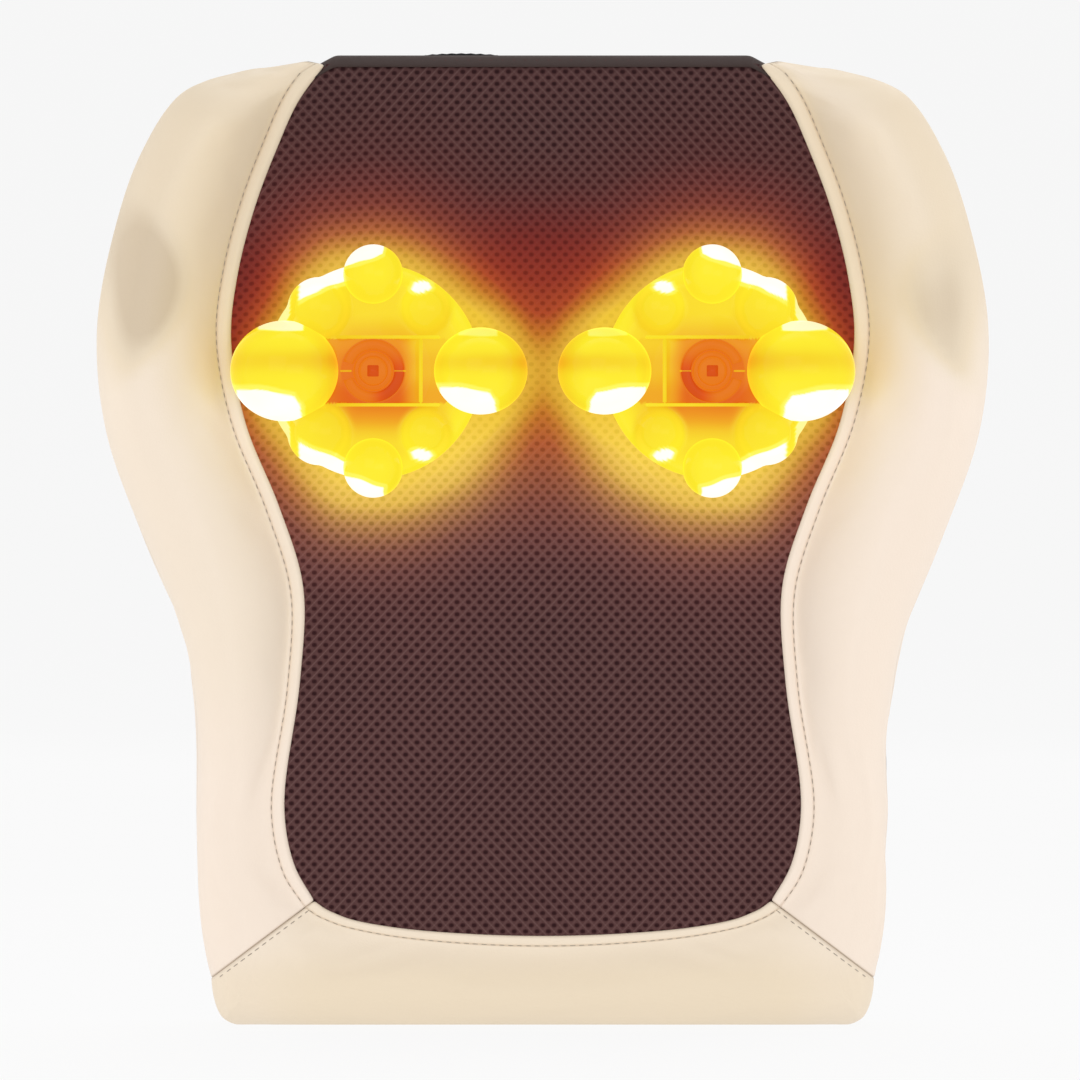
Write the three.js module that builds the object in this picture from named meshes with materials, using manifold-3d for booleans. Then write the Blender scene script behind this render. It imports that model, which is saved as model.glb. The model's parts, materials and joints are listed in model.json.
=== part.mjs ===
// Shiatsu back and neck massager cushion: a padded hourglass cushion that stands on its bottom edge.
// Two turning massage heads stand in front of a knitted mesh face, driven by one motor with two worms.
// Millimetres. +X is the viewer's right, -Y is the front face, +Z is up. The origin is on the floor
// under the middle of the cushion's outline.
import * as THREE from "three";
import { mergeVertices } from "three/addons/utils/BufferGeometryUtils.js";
import Module from "manifold-3d";

const wasm = await Module();
wasm.setup();

// ---------- driving dimensions ----------
const HEAD_X = 63; // distance of each head's axis from the middle
const HEAD_Z = 244; // height of the heads' axes
const FACE_Y = -20; // front of the mesh face round the heads
const BACK_Y = 50; // outside of the back panel
const GAP = 0.3; // between pieces that touch
const LEATHER = 1.6; // thickness of the leather cover
const BAND = 8; // width of the flat leather band along the mesh
const LIP = 22; // how far the cover turns in over the back
const FAR_FRONT_Y = -80; // ends of cutting tools that go right through
const FAR_BACK_Y = 80;

// Ribs of the right wing from the top down: a point on the mesh's edge, then one on the outline.
const WING_RIBS = [
  [84.5, 355.5, 91, 360.4],
  [91, 343.5, 114, 356.4],
  [98.5, 327, 133.5, 347],
  [107, 304.5, 148.5, 325],
  [113.5, 279, 159, 294.5],
  [115.9, 255, 165.3, 258],
  [110.5, 224, 161.8, 220.5],
  [98, 193, 148, 181],
  [89, 163, 134.8, 146.5],
  [90.2, 128, 129, 112],
  [96.1, 82, 128.4, 74],
  [92.5, 60, 127, 40],
  [85, 46.3, 123.6, 17.5],
];
// Ribs of the bottom roll from the right-hand seam to the middle.
const BOTTOM_RIBS = [
  [85, 46.3, 123.6, 17.5],
  [81, 43.4, 121.6, 7.5],
  [77, 41.5, 118.3, 2.2],
  [71, 39.3, 111, 0],
  [54, 36.2, 80, 0],
  [28, 34, 40, 0],
  [0, 33.2, 0, 0],
];
const TOP_Z = 361.3; // top edge over the mesh
const TOP_X = 79; // half the width of the mesh at the top edge

// Levels along Y, front to back.
const DISH_Y = -23.5; // open back of each head's dish
const SHELL_Y = -16; // front of the casing
const GEAR_Y = 12; // worm axis, worm wheels and the gearbox's parting line
const CASE_SPLIT_Y = 14; // parting line of the casing
const CASE_BACK_Y = 46.5; // back of the casing

// Worm drive: a single-start worm under each 24-tooth wheel.
const MODULE = 1.25;
const WHEEL_TEETH = 24;
const WHEEL_R = (MODULE * WHEEL_TEETH) / 2;
const WORM_R = 5;
const WORM_LEAD = Math.PI * MODULE;
const WORM_Z = HEAD_Z - WHEEL_R - WORM_R;
const SHAFT_R = 4;
const WORM_SHAFT_R = 2.5;

// ---------- materials ----------
const finish = (color, roughness, metalness = 0) =>
  new THREE.MeshStandardMaterial({ color, roughness, metalness });
const CREAM_LEATHER = finish(0xead9c0, 0.5);
const BROWN_MESH = finish(0x5a4042, 0.9);
const BLACK_FABRIC = finish(0x1d1b1c, 0.9);
const FOAM = finish(0xe6e2d8, 1);
const CASE_PLASTIC = finish(0x2a2a2c, 0.6);
const GEAR_PLASTIC = finish(0xe9e6dc, 0.5);
const HEAD_PLASTIC = finish(0xffd42a, 0.25);
const HUB_PLASTIC = finish(0xe8641c, 0.35);
const STEEL = finish(0xb9bcc0, 0.35, 1);
const ZINC = finish(0x8f9397, 0.4, 1);
const BRASS = finish(0xc9a04a, 0.35, 1);
const BOARD = finish(0x1f6b3a, 0.5);
const GREY_PLASTIC = finish(0x4a4a4d, 0.5);

// ---------- solids ----------
function solidOf(geometry) {
  const bare = geometry.clone();
  bare.deleteAttribute("normal");
  bare.deleteAttribute("uv");
  const merged = mergeVertices(bare, 1e-4);
  return new wasm.Manifold(
    new wasm.Mesh({
      numProp: 3,
      vertProperties: merged.attributes.position.array,
      triVerts: new Uint32Array(merged.index.array),
    }),
  );
}

function geometryOf(solid) {
  const mesh = solid.getMesh();
  const geometry = new THREE.BufferGeometry();
  geometry.setAttribute("position", new THREE.BufferAttribute(mesh.vertProperties, 3));
  geometry.setIndex(new THREE.BufferAttribute(mesh.triVerts, 1));
  geometry.computeVertexNormals();
  return geometry;
}

const join = (first, ...rest) => rest.reduce((all, next) => all.add(next), first);
const cut = (first, ...rest) => rest.reduce((all, next) => all.subtract(next), first);

function box(x0, x1, y0, y1, z0, z1) {
  const geometry = new THREE.BoxGeometry(Math.abs(x1 - x0), y1 - y0, z1 - z0);
  return solidOf(geometry.translate((x0 + x1) / 2, (y0 + y1) / 2, (z0 + z1) / 2));
}

function rodY(r, y0, y1, x = 0, z = 0, sides = 24) {
  const geometry = new THREE.CylinderGeometry(r, r, y1 - y0, sides);
  return solidOf(geometry.translate(x, (y0 + y1) / 2, z));
}

function rodX(r, x0, x1, y = 0, z = 0, sides = 20) {
  const geometry = new THREE.CylinderGeometry(r, r, x1 - x0, sides);
  return solidOf(geometry.rotateZ(Math.PI / 2).translate((x0 + x1) / 2, y, z));
}

function ball(r, x, y, z, detail = 4) {
  return solidOf(new THREE.IcosahedronGeometry(r, detail).translate(x, y, z));
}

function ring(rOut, rIn, y0, y1, x = 0, z = 0, sides = 24) {
  return cut(rodY(rOut, y0, y1, x, z, sides), rodY(rIn, y0 - 1, y1 + 1, x, z, sides));
}

// A profile of [radius, y] points turned round the Y axis; it starts and ends on the axis.
function turned(profile, x, z, sides = 24) {
  const points = profile.map(([r, y]) => new THREE.Vector2(r, y));
  return solidOf(new THREE.LatheGeometry(points, sides).translate(x, 0, z));
}

// A flat outline of [x, z] points, given its thickness along Y.
function slab(outline, y0, y1) {
  const shape = new THREE.Shape(outline.map(([x, z]) => new THREE.Vector2(x, z)));
  const geometry = new THREE.ExtrudeGeometry(shape, { depth: y1 - y0, bevelEnabled: false });
  return solidOf(geometry.rotateX(Math.PI / 2).translate(0, y1, 0));
}

// A solid through closed sections that all have the same number of points.
function loft(sections, flat) {
  const count = sections[0].length;
  const position = [];
  for (const section of sections) for (const p of section) position.push(p.x, p.y, p.z);
  const index = [];
  for (let i = 0; i + 1 < sections.length; i++) {
    for (let j = 0; j < count; j++) {
      const a = i * count + j;
      const b = i * count + ((j + 1) % count);
      index.push(a, b, b + count, a, b + count, a + count);
    }
  }
  for (const i of [0, sections.length - 1]) {
    const turned = (i === 0) === THREE.ShapeUtils.area(flat(i)) > 0;
    for (const [a, b, c] of THREE.ShapeUtils.triangulateShape(flat(i), [])) {
      const at = i * count;
      if (turned) index.push(at + a, at + c, at + b);
      else index.push(at + a, at + b, at + c);
    }
  }
  const geometry = new THREE.BufferGeometry();
  geometry.setAttribute("position", new THREE.Float32BufferAttribute(position, 3));
  geometry.setIndex(index);
  const solid = solidOf(geometry);
  if (solid.volume() > 0) return solid;
  for (let k = 0; k < index.length; k += 3) [index[k + 1], index[k + 2]] = [index[k + 2], index[k + 1]];
  geometry.setIndex(index);
  return solidOf(geometry);
}

const onHeads = (make) => [-HEAD_X, HEAD_X].map(make);

const root = new THREE.Group();
function piece(name, solid, material, parent = root) {
  const mesh = new THREE.Mesh(geometryOf(solid), material);
  mesh.name = name;
  parent.add(mesh);
  return mesh;
}

// ---------- the cushion's surfaces ----------
const smooth = (from, to, value) => THREE.MathUtils.smoothstep(value, from, to);
const mirrored = (ribs) => ribs.map(([a, b, c, d]) => [-a, b, -c, d]);
const ALL_BOTTOM = [...BOTTOM_RIBS, ...mirrored(BOTTOM_RIBS).reverse().slice(1)];

function curve(points) {
  const line = points.map(([x, z]) => new THREE.Vector3(x, 0, z));
  return new THREE.CatmullRomCurve3(line, false, "centripetal");
}
const onFloor = (p) => new THREE.Vector3(p.x, p.y, Math.max(0, p.z));

// Pairs of points along a table of ribs: where each leaves the mesh, and where it meets the outline.
function ribsAlong(table, steps) {
  const edge = curve(table.map(([x, z]) => [x, z]));
  const outline = curve(table.map(([, , x, z]) => [x, z]));
  return Array.from({ length: steps + 1 }, (_, i) => ({
    edge: onFloor(edge.getPoint(i / steps)),
    outer: onFloor(outline.getPoint(i / steps)),
  }));
}

const FINE = 96;
const WING_FINE = ribsAlong(WING_RIBS, FINE);
const BOTTOM_FINE = ribsAlong(ALL_BOTTOM, FINE);
const flat = ({ x, z }) => [x, z];
const flip = (points) => points.map(([x, z]) => [-x, z]).reverse();
const closedBy = (right, bottom) => [...right, ...bottom.slice(1), ...flip(right).slice(1)];
const MESH_EDGE = closedBy(WING_FINE.map((r) => flat(r.edge)), BOTTOM_FINE.map((r) => flat(r.edge)));
const SIDES = closedBy(WING_FINE.map((r) => flat(r.outer)), BOTTOM_FINE.map((r) => flat(r.outer)));
const OUTLINE = [[0, TOP_Z], [TOP_X, TOP_Z], ...SIDES, [-TOP_X, TOP_Z], [0, TOP_Z]];

function distanceTo(line, x, z) {
  let best = Infinity;
  for (let i = 0; i + 1 < line.length; i++) {
    const [ax, az] = line[i];
    const [bx, bz] = line[i + 1];
    const along = (x - ax) * (bx - ax) + (z - az) * (bz - az);
    const t = THREE.MathUtils.clamp(along / ((bx - ax) ** 2 + (bz - az) ** 2 || 1), 0, 1);
    best = Math.min(best, Math.hypot(x - ax - t * (bx - ax), z - az - t * (bz - az)));
  }
  return best;
}

// The mesh face is flat round the heads and swells a little over the lower back.
const SWELL = 5;
const SWELL_Z = 105;
const SWELL_SPREAD = 50;
const SWELL_HALF = 130; // half width over which the swelling fades out
function swell(x, z) {
  return SWELL * Math.exp(-(((z - SWELL_Z) / SWELL_SPREAD) ** 2)) * (1 - (x / SWELL_HALF) ** 2);
}

// The padded sides rise to a crown that is highest beside the heads.
const crownAt = (z) => 12 + 18 * smooth(40, 230, z);
const frontRadiusAt = (z) => 12 + 0.4 * crownAt(z);
const backRadiusAt = (z) => 9 + 13 * smooth(60, 200, z);
const MESH_RADIUS = 8;

function roundOff(radius, distance) {
  if (distance >= radius) return 0;
  return radius - Math.sqrt(radius ** 2 - (radius - distance) ** 2);
}

// Front of the cushion at (x, z): the mesh's level, plus the padded crown outside its edge.
function frontY(x, z, onPadding) {
  const out = distanceTo(OUTLINE, x, z);
  const level = FACE_Y - swell(x, z);
  if (!onPadding) return level + roundOff(MESH_RADIUS, out);
  const into = distanceTo(MESH_EDGE, x, z);
  const width = into + out;
  const rise = smooth(BAND, BAND + 0.45 * Math.max(1, width - BAND), into);
  const radius = THREE.MathUtils.lerp(MESH_RADIUS, frontRadiusAt(z), smooth(0, 30, into));
  return level - crownAt(z) * rise * smooth(8, 45, width) + roundOff(radius, out);
}

// One rib's path from the mesh edge, over the crown and the side, to the lip on the back, as
// [distance from the mesh edge, y].
const FRONT_STEPS = [0, 0.17, 0.34, 0.55, 0.75, 0.9, 1];
function ribPath({ edge, outer }) {
  const width = edge.distanceTo(outer);
  const path = FRONT_STEPS.map((v) => {
    const p = edge.clone().lerp(outer, v);
    return [v * width, frontY(p.x, p.z, true)];
  });
  const radius = Math.min(backRadiusAt(outer.z), 0.55 * width);
  path.push([width, BACK_Y - radius]);
  path.push([width - 0.3 * radius, BACK_Y - 0.3 * radius]);
  path.push([width - radius, BACK_Y]);
  path.push([Math.max(width - Math.max(LIP, radius + 2), 0.2 * width), BACK_Y]);
  return path;
}

function along({ edge, outer }, [s, y]) {
  const away = outer.clone().sub(edge).normalize();
  return edge.clone().addScaledVector(away, s).setY(y);
}

// The same path moved inwards by a thickness.
function insetPath(path, thickness) {
  return path.map(([s, y], i) => {
    const [s0, y0] = path[Math.max(0, i - 1)];
    const [s1, y1] = path[Math.min(path.length - 1, i + 1)];
    const length = Math.hypot(s1 - s0, y1 - y0);
    return [s - (thickness * (y1 - y0)) / length, y + (thickness * (s1 - s0)) / length];
  });
}

// A solid through one closed [s, y] section on every rib.
function ribLoft(ribs, sectionOf) {
  const sections = ribs.map((rib) => sectionOf(ribPath(rib)));
  const placed = sections.map((section, i) => section.map((p) => along(ribs[i], p)));
  return loft(placed, (i) => sections[i].map(([s, y]) => new THREE.Vector2(s, y)));
}

const coverSection = (path) => [...path, ...insetPath(path, LEATHER).reverse()];
function foamSection(path) {
  const inside = insetPath(path, LEATHER + GAP).slice(0, -1);
  const [s, y] = inside[inside.length - 1];
  return [...inside, [Math.min(1, s - 0.5), y]].reverse();
}

// ---------- leather covers and the foam inside them ----------
const CONTROL_Y = 12; // middle of the control panel in the right-hand side wall
const CONTROL_Z = 86;
const PANEL_DEPTH = 22;
const PANEL_HEIGHT = 40;
const SIDE_X = 127.5; // face of the control panel, sunk a little below the leather
const WELL_X = 98; // bottom of the well that the control panel sits in
const FAR_X = 140;
const RIB_STEPS = 16;

function controlWell(clearance) {
  const y = PANEL_DEPTH / 2 + clearance;
  const z = PANEL_HEIGHT / 2 + clearance;
  return box(WELL_X, FAR_X, CONTROL_Y - y, CONTROL_Y + y, CONTROL_Z - z, CONTROL_Z + z);
}

const SEAM_REACH = 30; // how far the seam's cut runs past both ends of its rib
const SEAM_HALF = 0.2;

// A thin cut along the seam between a wing and the bottom roll.
function seamCut(side) {
  const [[ax, az, bx, bz]] = BOTTOM_RIBS;
  const run = new THREE.Vector2(bx - ax, bz - az).normalize();
  const corner = (x, z, reach, half) => [
    side * (x + run.x * reach - run.y * half),
    z + run.y * reach + run.x * half,
  ];
  const outline = [
    corner(ax, az, -SEAM_REACH, SEAM_HALF),
    corner(bx, bz, SEAM_REACH, SEAM_HALF),
    corner(bx, bz, SEAM_REACH, -SEAM_HALF),
    corner(ax, az, -SEAM_REACH, -SEAM_HALF),
  ];
  return slab(outline, FAR_FRONT_Y, FAR_BACK_Y);
}

function makePadding() {
  const wings = { left: mirrored(WING_RIBS), right: WING_RIBS };
  for (const [side, table] of Object.entries(wings)) {
    const ribs = ribsAlong(table, RIB_STEPS);
    const seam = seamCut(Math.sign(table[0][0]));
    let cover = cut(ribLoft(ribs, coverSection), seam);
    let foam = cut(ribLoft(ribs, foamSection), seam);
    if (side === "right") {
      cover = cut(cover, controlWell(0.5));
      foam = cut(foam, controlWell(1));
    }
    piece(`${side}_wing_cover`, cover, CREAM_LEATHER);
    piece(`${side}_wing_foam`, foam, FOAM);
  }
  const ribs = ribsAlong(ALL_BOTTOM, RIB_STEPS);
  piece("bottom_cover", cut(ribLoft(ribs, coverSection), seamCut(-1), seamCut(1)), CREAM_LEATHER);
  piece("bottom_foam", cut(ribLoft(ribs, foamSection), seamCut(-1), seamCut(1)), FOAM);
}

// ---------- mesh face, foam core, back and top ----------
const OPENING_R = 34; // round opening in the mesh behind each head
const MESH_THICK = 3.5;
const MESH_COLUMNS = 6;

// A point of the mesh face: across from -1 to 1 and down from 0 to 1.
function meshPoint(across, down) {
  const edge = onFloor(curve(WING_RIBS.map(([x, z]) => [x, z])).getPoint(down));
  const rise = (TOP_Z - GAP - edge.z) * (1 - smooth(0, 0.12, down)) * (1 - across ** 6);
  const drop = (edge.z - BOTTOM_RIBS.at(-1)[1]) * smooth(0.75, 1, down) * (1 - Math.abs(across) ** 3);
  return [across * (edge.x - 2 * GAP), edge.z + rise - drop + GAP * smooth(0.75, 1, down)];
}

function makeMeshFace() {
  const rows = [];
  for (let i = 0; i <= RIB_STEPS; i++) {
    const front = [];
    for (let j = 0; j <= MESH_COLUMNS; j++) {
      const [x, z] = meshPoint(1 - (2 * j) / MESH_COLUMNS, i / RIB_STEPS);
      front.push(new THREE.Vector3(x, frontY(x, z, false), z));
    }
    const back = front.map((p) => p.clone().setY(p.y + MESH_THICK)).reverse();
    rows.push([...front, ...back]);
  }
  const panel = loft(rows, (i) => rows[i].map((p) => new THREE.Vector2(p.x, p.y)));
  const openings = onHeads((x) => rodY(OPENING_R, FAR_FRONT_Y, FAR_BACK_Y, x, HEAD_Z, 20));
  piece("mesh_face", cut(panel, ...openings), BROWN_MESH);
}

// Half the width between the wings at a height.
function halfWidthAt(z) {
  const above = WING_FINE.findIndex((r) => r.edge.z < z);
  return WING_FINE[Math.max(0, above)].edge.x;
}
function between(levels, inset) {
  const right = levels.map((z) => [halfWidthAt(z) - inset, z]);
  return [...right, ...flip(right)];
}

const CASE_TOP_Z = 310;
const CASE_LOW_Z = 178;
const CORE_FRONT_Y = SHELL_Y + 1;
const CORE_BACK_Y = BACK_Y - LEATHER - 2 * GAP;
const CORE_GAP = 3; // between the casing and the foam above and below it
const LOWER_CORE_LEVELS = [CASE_LOW_Z - CORE_GAP, 150, 120, 82, 58];
const UPPER_CORE_LEVELS = [350, 330, CASE_TOP_Z + CORE_GAP];
const CORE_FOOT = [70, 44]; // half width and height of the lower foam's foot
function makeFoamCore() {
  const lower = between(LOWER_CORE_LEVELS, 5);
  const [x, z] = CORE_FOOT;
  lower.splice(LOWER_CORE_LEVELS.length, 0, [x, z], [-x, z]);
  piece("lower_core_foam", slab(lower, CORE_FRONT_Y, CORE_BACK_Y), FOAM);
  piece("upper_core_foam", slab(between(UPPER_CORE_LEVELS, 6), CORE_FRONT_Y, CORE_BACK_Y), FOAM);
}

const STRAP_THICK = 1.5;
const STRAP_HEIGHT = 32;
const STRAP_REACH = 4; // how far each strap runs past the mesh edge in front of it
const STRAPS = { upper_strap: 268, lower_strap: 132 }; // lower edge of each strap
const GUSSET_HEIGHT = 3.5;
const LOOP = { left: -45, right: -16, front: 18, low: 330 }; // edges of the hanging loop

function makeBack() {
  const lipEnd = (rib) => {
    const [s, y] = ribPath(rib).at(-1);
    return flat(along(rib, [Math.max(0.5, s - 2 * GAP), y]));
  };
  const right = ribsAlong(WING_RIBS, RIB_STEPS).map(lipEnd);
  const bottom = ribsAlong(ALL_BOTTOM, RIB_STEPS).map(lipEnd);
  piece("back_panel", slab(closedBy(right, bottom), BACK_Y - LEATHER, BACK_Y), BLACK_FABRIC);
  const inner = BACK_Y + GAP;
  const outer = inner + STRAP_THICK;
  for (const [name, z] of Object.entries(STRAPS)) {
    const x = halfWidthAt(z) + STRAP_REACH;
    piece(name, box(-x, x, inner, outer, z, z + STRAP_HEIGHT), BLACK_FABRIC);
  }
  const gussetFront = FACE_Y + MESH_RADIUS + 2;
  piece("top_gusset", box(-TOP_X, TOP_X, gussetFront, BACK_Y, TOP_Z - GUSSET_HEIGHT, TOP_Z), BLACK_FABRIC);
  const loopLow = TOP_Z + GAP;
  const loopTop = loopLow + STRAP_THICK;
  const overTop = box(LOOP.left, LOOP.right, LOOP.front, outer, loopLow, loopTop);
  const downBack = box(LOOP.left, LOOP.right, inner, outer, LOOP.low, loopTop);
  piece("hanging_loop", join(overTop, downBack), BLACK_FABRIC);
}

// ---------- zip on the back ----------
const ZIP_Z = 78;
const ZIP_HALF = 72;
const ZIP_TAPE = { thick: 0.8, half: 6 };
const ZIP_TEETH = { thick: 1.6, half: 2, end: 2 }; // end: bare tape past the last tooth
const SLIDER_X = -64; // slider at its closed end
const SLIDER = { reach: 5, inner: 1.1, outer: 2.7, half: 3.6 };
const SLIDER_CHANNEL = { outer: 2, half: 2.4 };
const PULL = { length: 17, stub: 0.3, gap: 0.25, thick: 0.75, half: 2.5 };

function makeZip() {
  const y = BACK_Y + GAP;
  const level = (half) => [ZIP_Z - half, ZIP_Z + half];
  const tape = box(-ZIP_HALF, ZIP_HALF, y, y + ZIP_TAPE.thick, ...level(ZIP_TAPE.half));
  const teethX = ZIP_HALF - ZIP_TEETH.end;
  const teeth = box(-teethX, teethX, y, y + ZIP_TEETH.thick, ...level(ZIP_TEETH.half));
  piece("zip_chain", join(tape, teeth), BLACK_FABRIC);
  const left = SLIDER_X - SLIDER.reach;
  const right = SLIDER_X + SLIDER.reach;
  const body = box(left, right, y + SLIDER.inner, y + SLIDER.outer, ...level(SLIDER.half));
  const channel = box(left - 1, right + 1, y, y + SLIDER_CHANNEL.outer, ...level(SLIDER_CHANNEL.half));
  piece("zip_slider", cut(body, channel), ZINC);
  const tabY = y + SLIDER.outer + PULL.gap;
  const tabX = [SLIDER_X - PULL.length, SLIDER_X + PULL.stub];
  piece("zip_pull", box(...tabX, tabY, tabY + PULL.thick, ...level(PULL.half)), ZINC);
}

// ---------- casing ----------
const CASE_OUTLINE = [
  [-84, CASE_LOW_Z],
  [84, CASE_LOW_Z],
  [103, 216],
  [111, 242],
  [111, 264],
  [101, CASE_TOP_Z],
  [-101, CASE_TOP_Z],
  [-111, 264],
  [-111, 242],
  [-103, 216],
];
const WALL = 2.4;
const TURRET_R = 32; // the casing's round fronts inside the mesh openings
const TURRET_Y = -22;
const TURRET_WALL = 2;
const SHAFT_HOLE_R = 6;
const CASE_SCREWS = [
  [-74, 190],
  [74, 190],
  [-88, 296],
  [88, 296],
];
const SCREW_R = 1.5;
const SCREW_HEAD = { r: 3.1, sinkR: 3.6, sink: 3, height: 2.2 };
const SCREW_DEPTH = 8; // from the casing's front to the screw's tip
const POST_R = 4.5;

function shrunk(outline, by) {
  const middle = (CASE_LOW_Z + CASE_TOP_Z) / 2;
  const half = (CASE_TOP_Z - CASE_LOW_Z) / 2;
  return outline.map(([x, z]) => [x * (1 - by / 100), middle + (z - middle) * (1 - by / half)]);
}

function makeCasing() {
  const inner = shrunk(CASE_OUTLINE, WALL);
  const onScrews = (r, y0, y1) => CASE_SCREWS.map(([x, z]) => rodY(r, y0, y1, x, z, 8));
  const turretInside = [TURRET_Y + TURRET_WALL, SHELL_Y + 4];
  const front = cut(
    join(
      cut(slab(CASE_OUTLINE, SHELL_Y, CASE_SPLIT_Y), slab(inner, SHELL_Y + WALL, FAR_BACK_Y)),
      ...onHeads((x) => rodY(TURRET_R, TURRET_Y, SHELL_Y + 1, x, HEAD_Z, 20)),
      ...onScrews(POST_R, SHELL_Y + 1, CASE_SPLIT_Y),
    ),
    ...onHeads((x) => rodY(TURRET_R - TURRET_WALL, ...turretInside, x, HEAD_Z, 20)),
    ...onHeads((x) => rodY(SHAFT_HOLE_R, FAR_FRONT_Y, 0, x, HEAD_Z, 12)),
    ...onScrews(SCREW_R + GAP, SHELL_Y + SCREW_DEPTH - 2, FAR_BACK_Y),
  );
  piece("front_shell", front, CASE_PLASTIC);
  const rearFront = CASE_SPLIT_Y + GAP;
  const rear = cut(
    join(
      cut(slab(CASE_OUTLINE, rearFront, CASE_BACK_Y), slab(inner, FAR_FRONT_Y, CASE_BACK_Y - WALL)),
      ...onScrews(POST_R, rearFront, CASE_BACK_Y - 1),
    ),
    ...onScrews(SCREW_R + GAP, FAR_FRONT_Y, FAR_BACK_Y),
    ...onScrews(SCREW_HEAD.sinkR, CASE_BACK_Y - SCREW_HEAD.sink, FAR_BACK_Y),
  );
  piece("rear_shell", rear, CASE_PLASTIC);
  const seat = CASE_BACK_Y - SCREW_HEAD.sink + GAP;
  CASE_SCREWS.forEach(([x, z], i) => {
    const head = rodY(SCREW_HEAD.r, seat, seat + SCREW_HEAD.height, x, z, 8);
    const shank = rodY(SCREW_R, SHELL_Y + SCREW_DEPTH, seat + 1, x, z, 8);
    piece(`case_screw_${i + 1}`, join(head, shank), STEEL);
  });
}

// ---------- gearbox, motor and worm shaft ----------
const BOX_X = 89;
const BOX_LOW_Z = 204;
const BOX_TOP_Z = 266;
const BOX_FRONT_Y = -5;
const BOX_BACK_Y = 28.5;
const BOX_WALL = 2.5;
const BOX_END_WALL = 8;
const BOX_EDGE_WALL = 3;
const BEARING_R = 11;
const BEARING_LENGTH = 7;
const BOSS_WALL = 3;
const BUSH_X = 81.3;
const BUSH_LENGTH = 4.6;
const BUSH_R = 5;
const MOTOR_R = 15;
const MOTOR_HALF = 28.5;
const HALVES = {
  gearbox_cover: { block: [BOX_FRONT_Y, GEAR_Y - GAP / 2], boss: [-13, -4], pocket: [-12.6, -5] },
  gearbox_base: { block: [GEAR_Y + GAP / 2, BOX_BACK_Y], boss: [27.5, 36], pocket: [28, 35.6] },
};

function makeGearbox() {
  const bushEnd = BUSH_X + BUSH_LENGTH + 1;
  const chamberX = BOX_X - BOX_END_WALL;
  const chamberY = [BOX_FRONT_Y + BOX_WALL, BOX_BACK_Y - BOX_WALL];
  const chamberZ = [BOX_LOW_Z + BOX_EDGE_WALL, BOX_TOP_Z - BOX_EDGE_WALL];
  const inside = [
    box(-chamberX, chamberX, ...chamberY, ...chamberZ),
    rodX(BUSH_R + GAP, -bushEnd, bushEnd, GEAR_Y, WORM_Z, 12),
    rodX(MOTOR_R + 0.5, -MOTOR_HALF - 1, MOTOR_HALF + 1, GEAR_Y, WORM_Z, 20),
    ...onHeads((x) => rodY(SHAFT_R + 1.5, FAR_FRONT_Y, FAR_BACK_Y, x, HEAD_Z, 12)),
  ];
  for (const [name, { block, boss, pocket }] of Object.entries(HALVES)) {
    const bosses = onHeads((x) => rodY(BEARING_R + BOSS_WALL, ...boss, x, HEAD_Z, 16));
    const pockets = onHeads((x) => rodY(BEARING_R + 2 * GAP, ...pocket, x, HEAD_Z, 16));
    const body = box(-BOX_X, BOX_X, ...block, BOX_LOW_Z, BOX_TOP_Z);
    piece(name, cut(join(body, ...bosses), ...inside, ...pockets), GREY_PLASTIC);
  }
}

const MOTOR_CAP = 6;
function makeMotor() {
  const bore = rodX(WORM_SHAFT_R + GAP, -40, 40, GEAR_Y, WORM_Z, 10);
  const can = rodX(MOTOR_R, -MOTOR_HALF + MOTOR_CAP, MOTOR_HALF, GEAR_Y, WORM_Z, 20);
  piece("motor_can", cut(can, bore), STEEL);
  const cap = rodX(MOTOR_R - 0.6, -MOTOR_HALF, -MOTOR_HALF + MOTOR_CAP - GAP, GEAR_Y, WORM_Z, 20);
  piece("motor_end_cap", cut(cap, bore), CASE_PLASTIC);
  const bushes = { left_worm_bush: -BUSH_X - BUSH_LENGTH, right_worm_bush: BUSH_X };
  for (const [name, at] of Object.entries(bushes)) {
    const bush = rodX(BUSH_R, at, at + BUSH_LENGTH, GEAR_Y, WORM_Z, 12);
    piece(name, cut(bush, rodX(WORM_SHAFT_R + GAP, -100, 100, GEAR_Y, WORM_Z, 10)), BRASS);
  }
}

// The thread of one worm: a trapezoid swept along a helix round the worm axis.
const THREAD_TURNS = 3.5;
const THREAD_STEPS = 10;
const THREAD = { root: WORM_R - 2, tip: WORM_R + 0.95, rootHalf: 0.95, tipHalf: 0.35 };
function wormThread(middleX, hand) {
  const { root: low, tip, rootHalf, tipHalf } = THREAD;
  const section = [
    [low, -rootHalf],
    [tip, -tipHalf],
    [tip, tipHalf],
    [low, rootHalf],
  ];
  const rings = [];
  const count = THREAD_TURNS * THREAD_STEPS;
  for (let i = 0; i <= count; i++) {
    const turn = (i / count - 0.5) * THREAD_TURNS;
    const angle = Math.PI / 2 + 2 * Math.PI * turn;
    const x = middleX + hand * WORM_LEAD * turn;
    const across = Math.cos(angle);
    const up = Math.sin(angle);
    rings.push(section.map(([r, dx]) => new THREE.Vector3(x + dx, GEAR_Y + r * across, WORM_Z + r * up)));
  }
  return loft(rings, () => section.map(([r, dx]) => new THREE.Vector2(r, dx)));
}

const WORM_CORE_R = 3.4;
const WORM_HALF = 10;
function makeWormShaft() {
  const end = BUSH_X + BUSH_LENGTH + 0.5;
  const shaft = rodX(WORM_SHAFT_R, -end, end, GEAR_Y, WORM_Z, 10);
  const cores = onHeads((x) => rodX(WORM_CORE_R, x - WORM_HALF, x + WORM_HALF, GEAR_Y, WORM_Z, 10));
  const threads = [wormThread(-HEAD_X, 1), wormThread(HEAD_X, -1)];
  piece("worm_shaft", join(shaft, ...cores, ...threads), STEEL);
}

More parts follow.
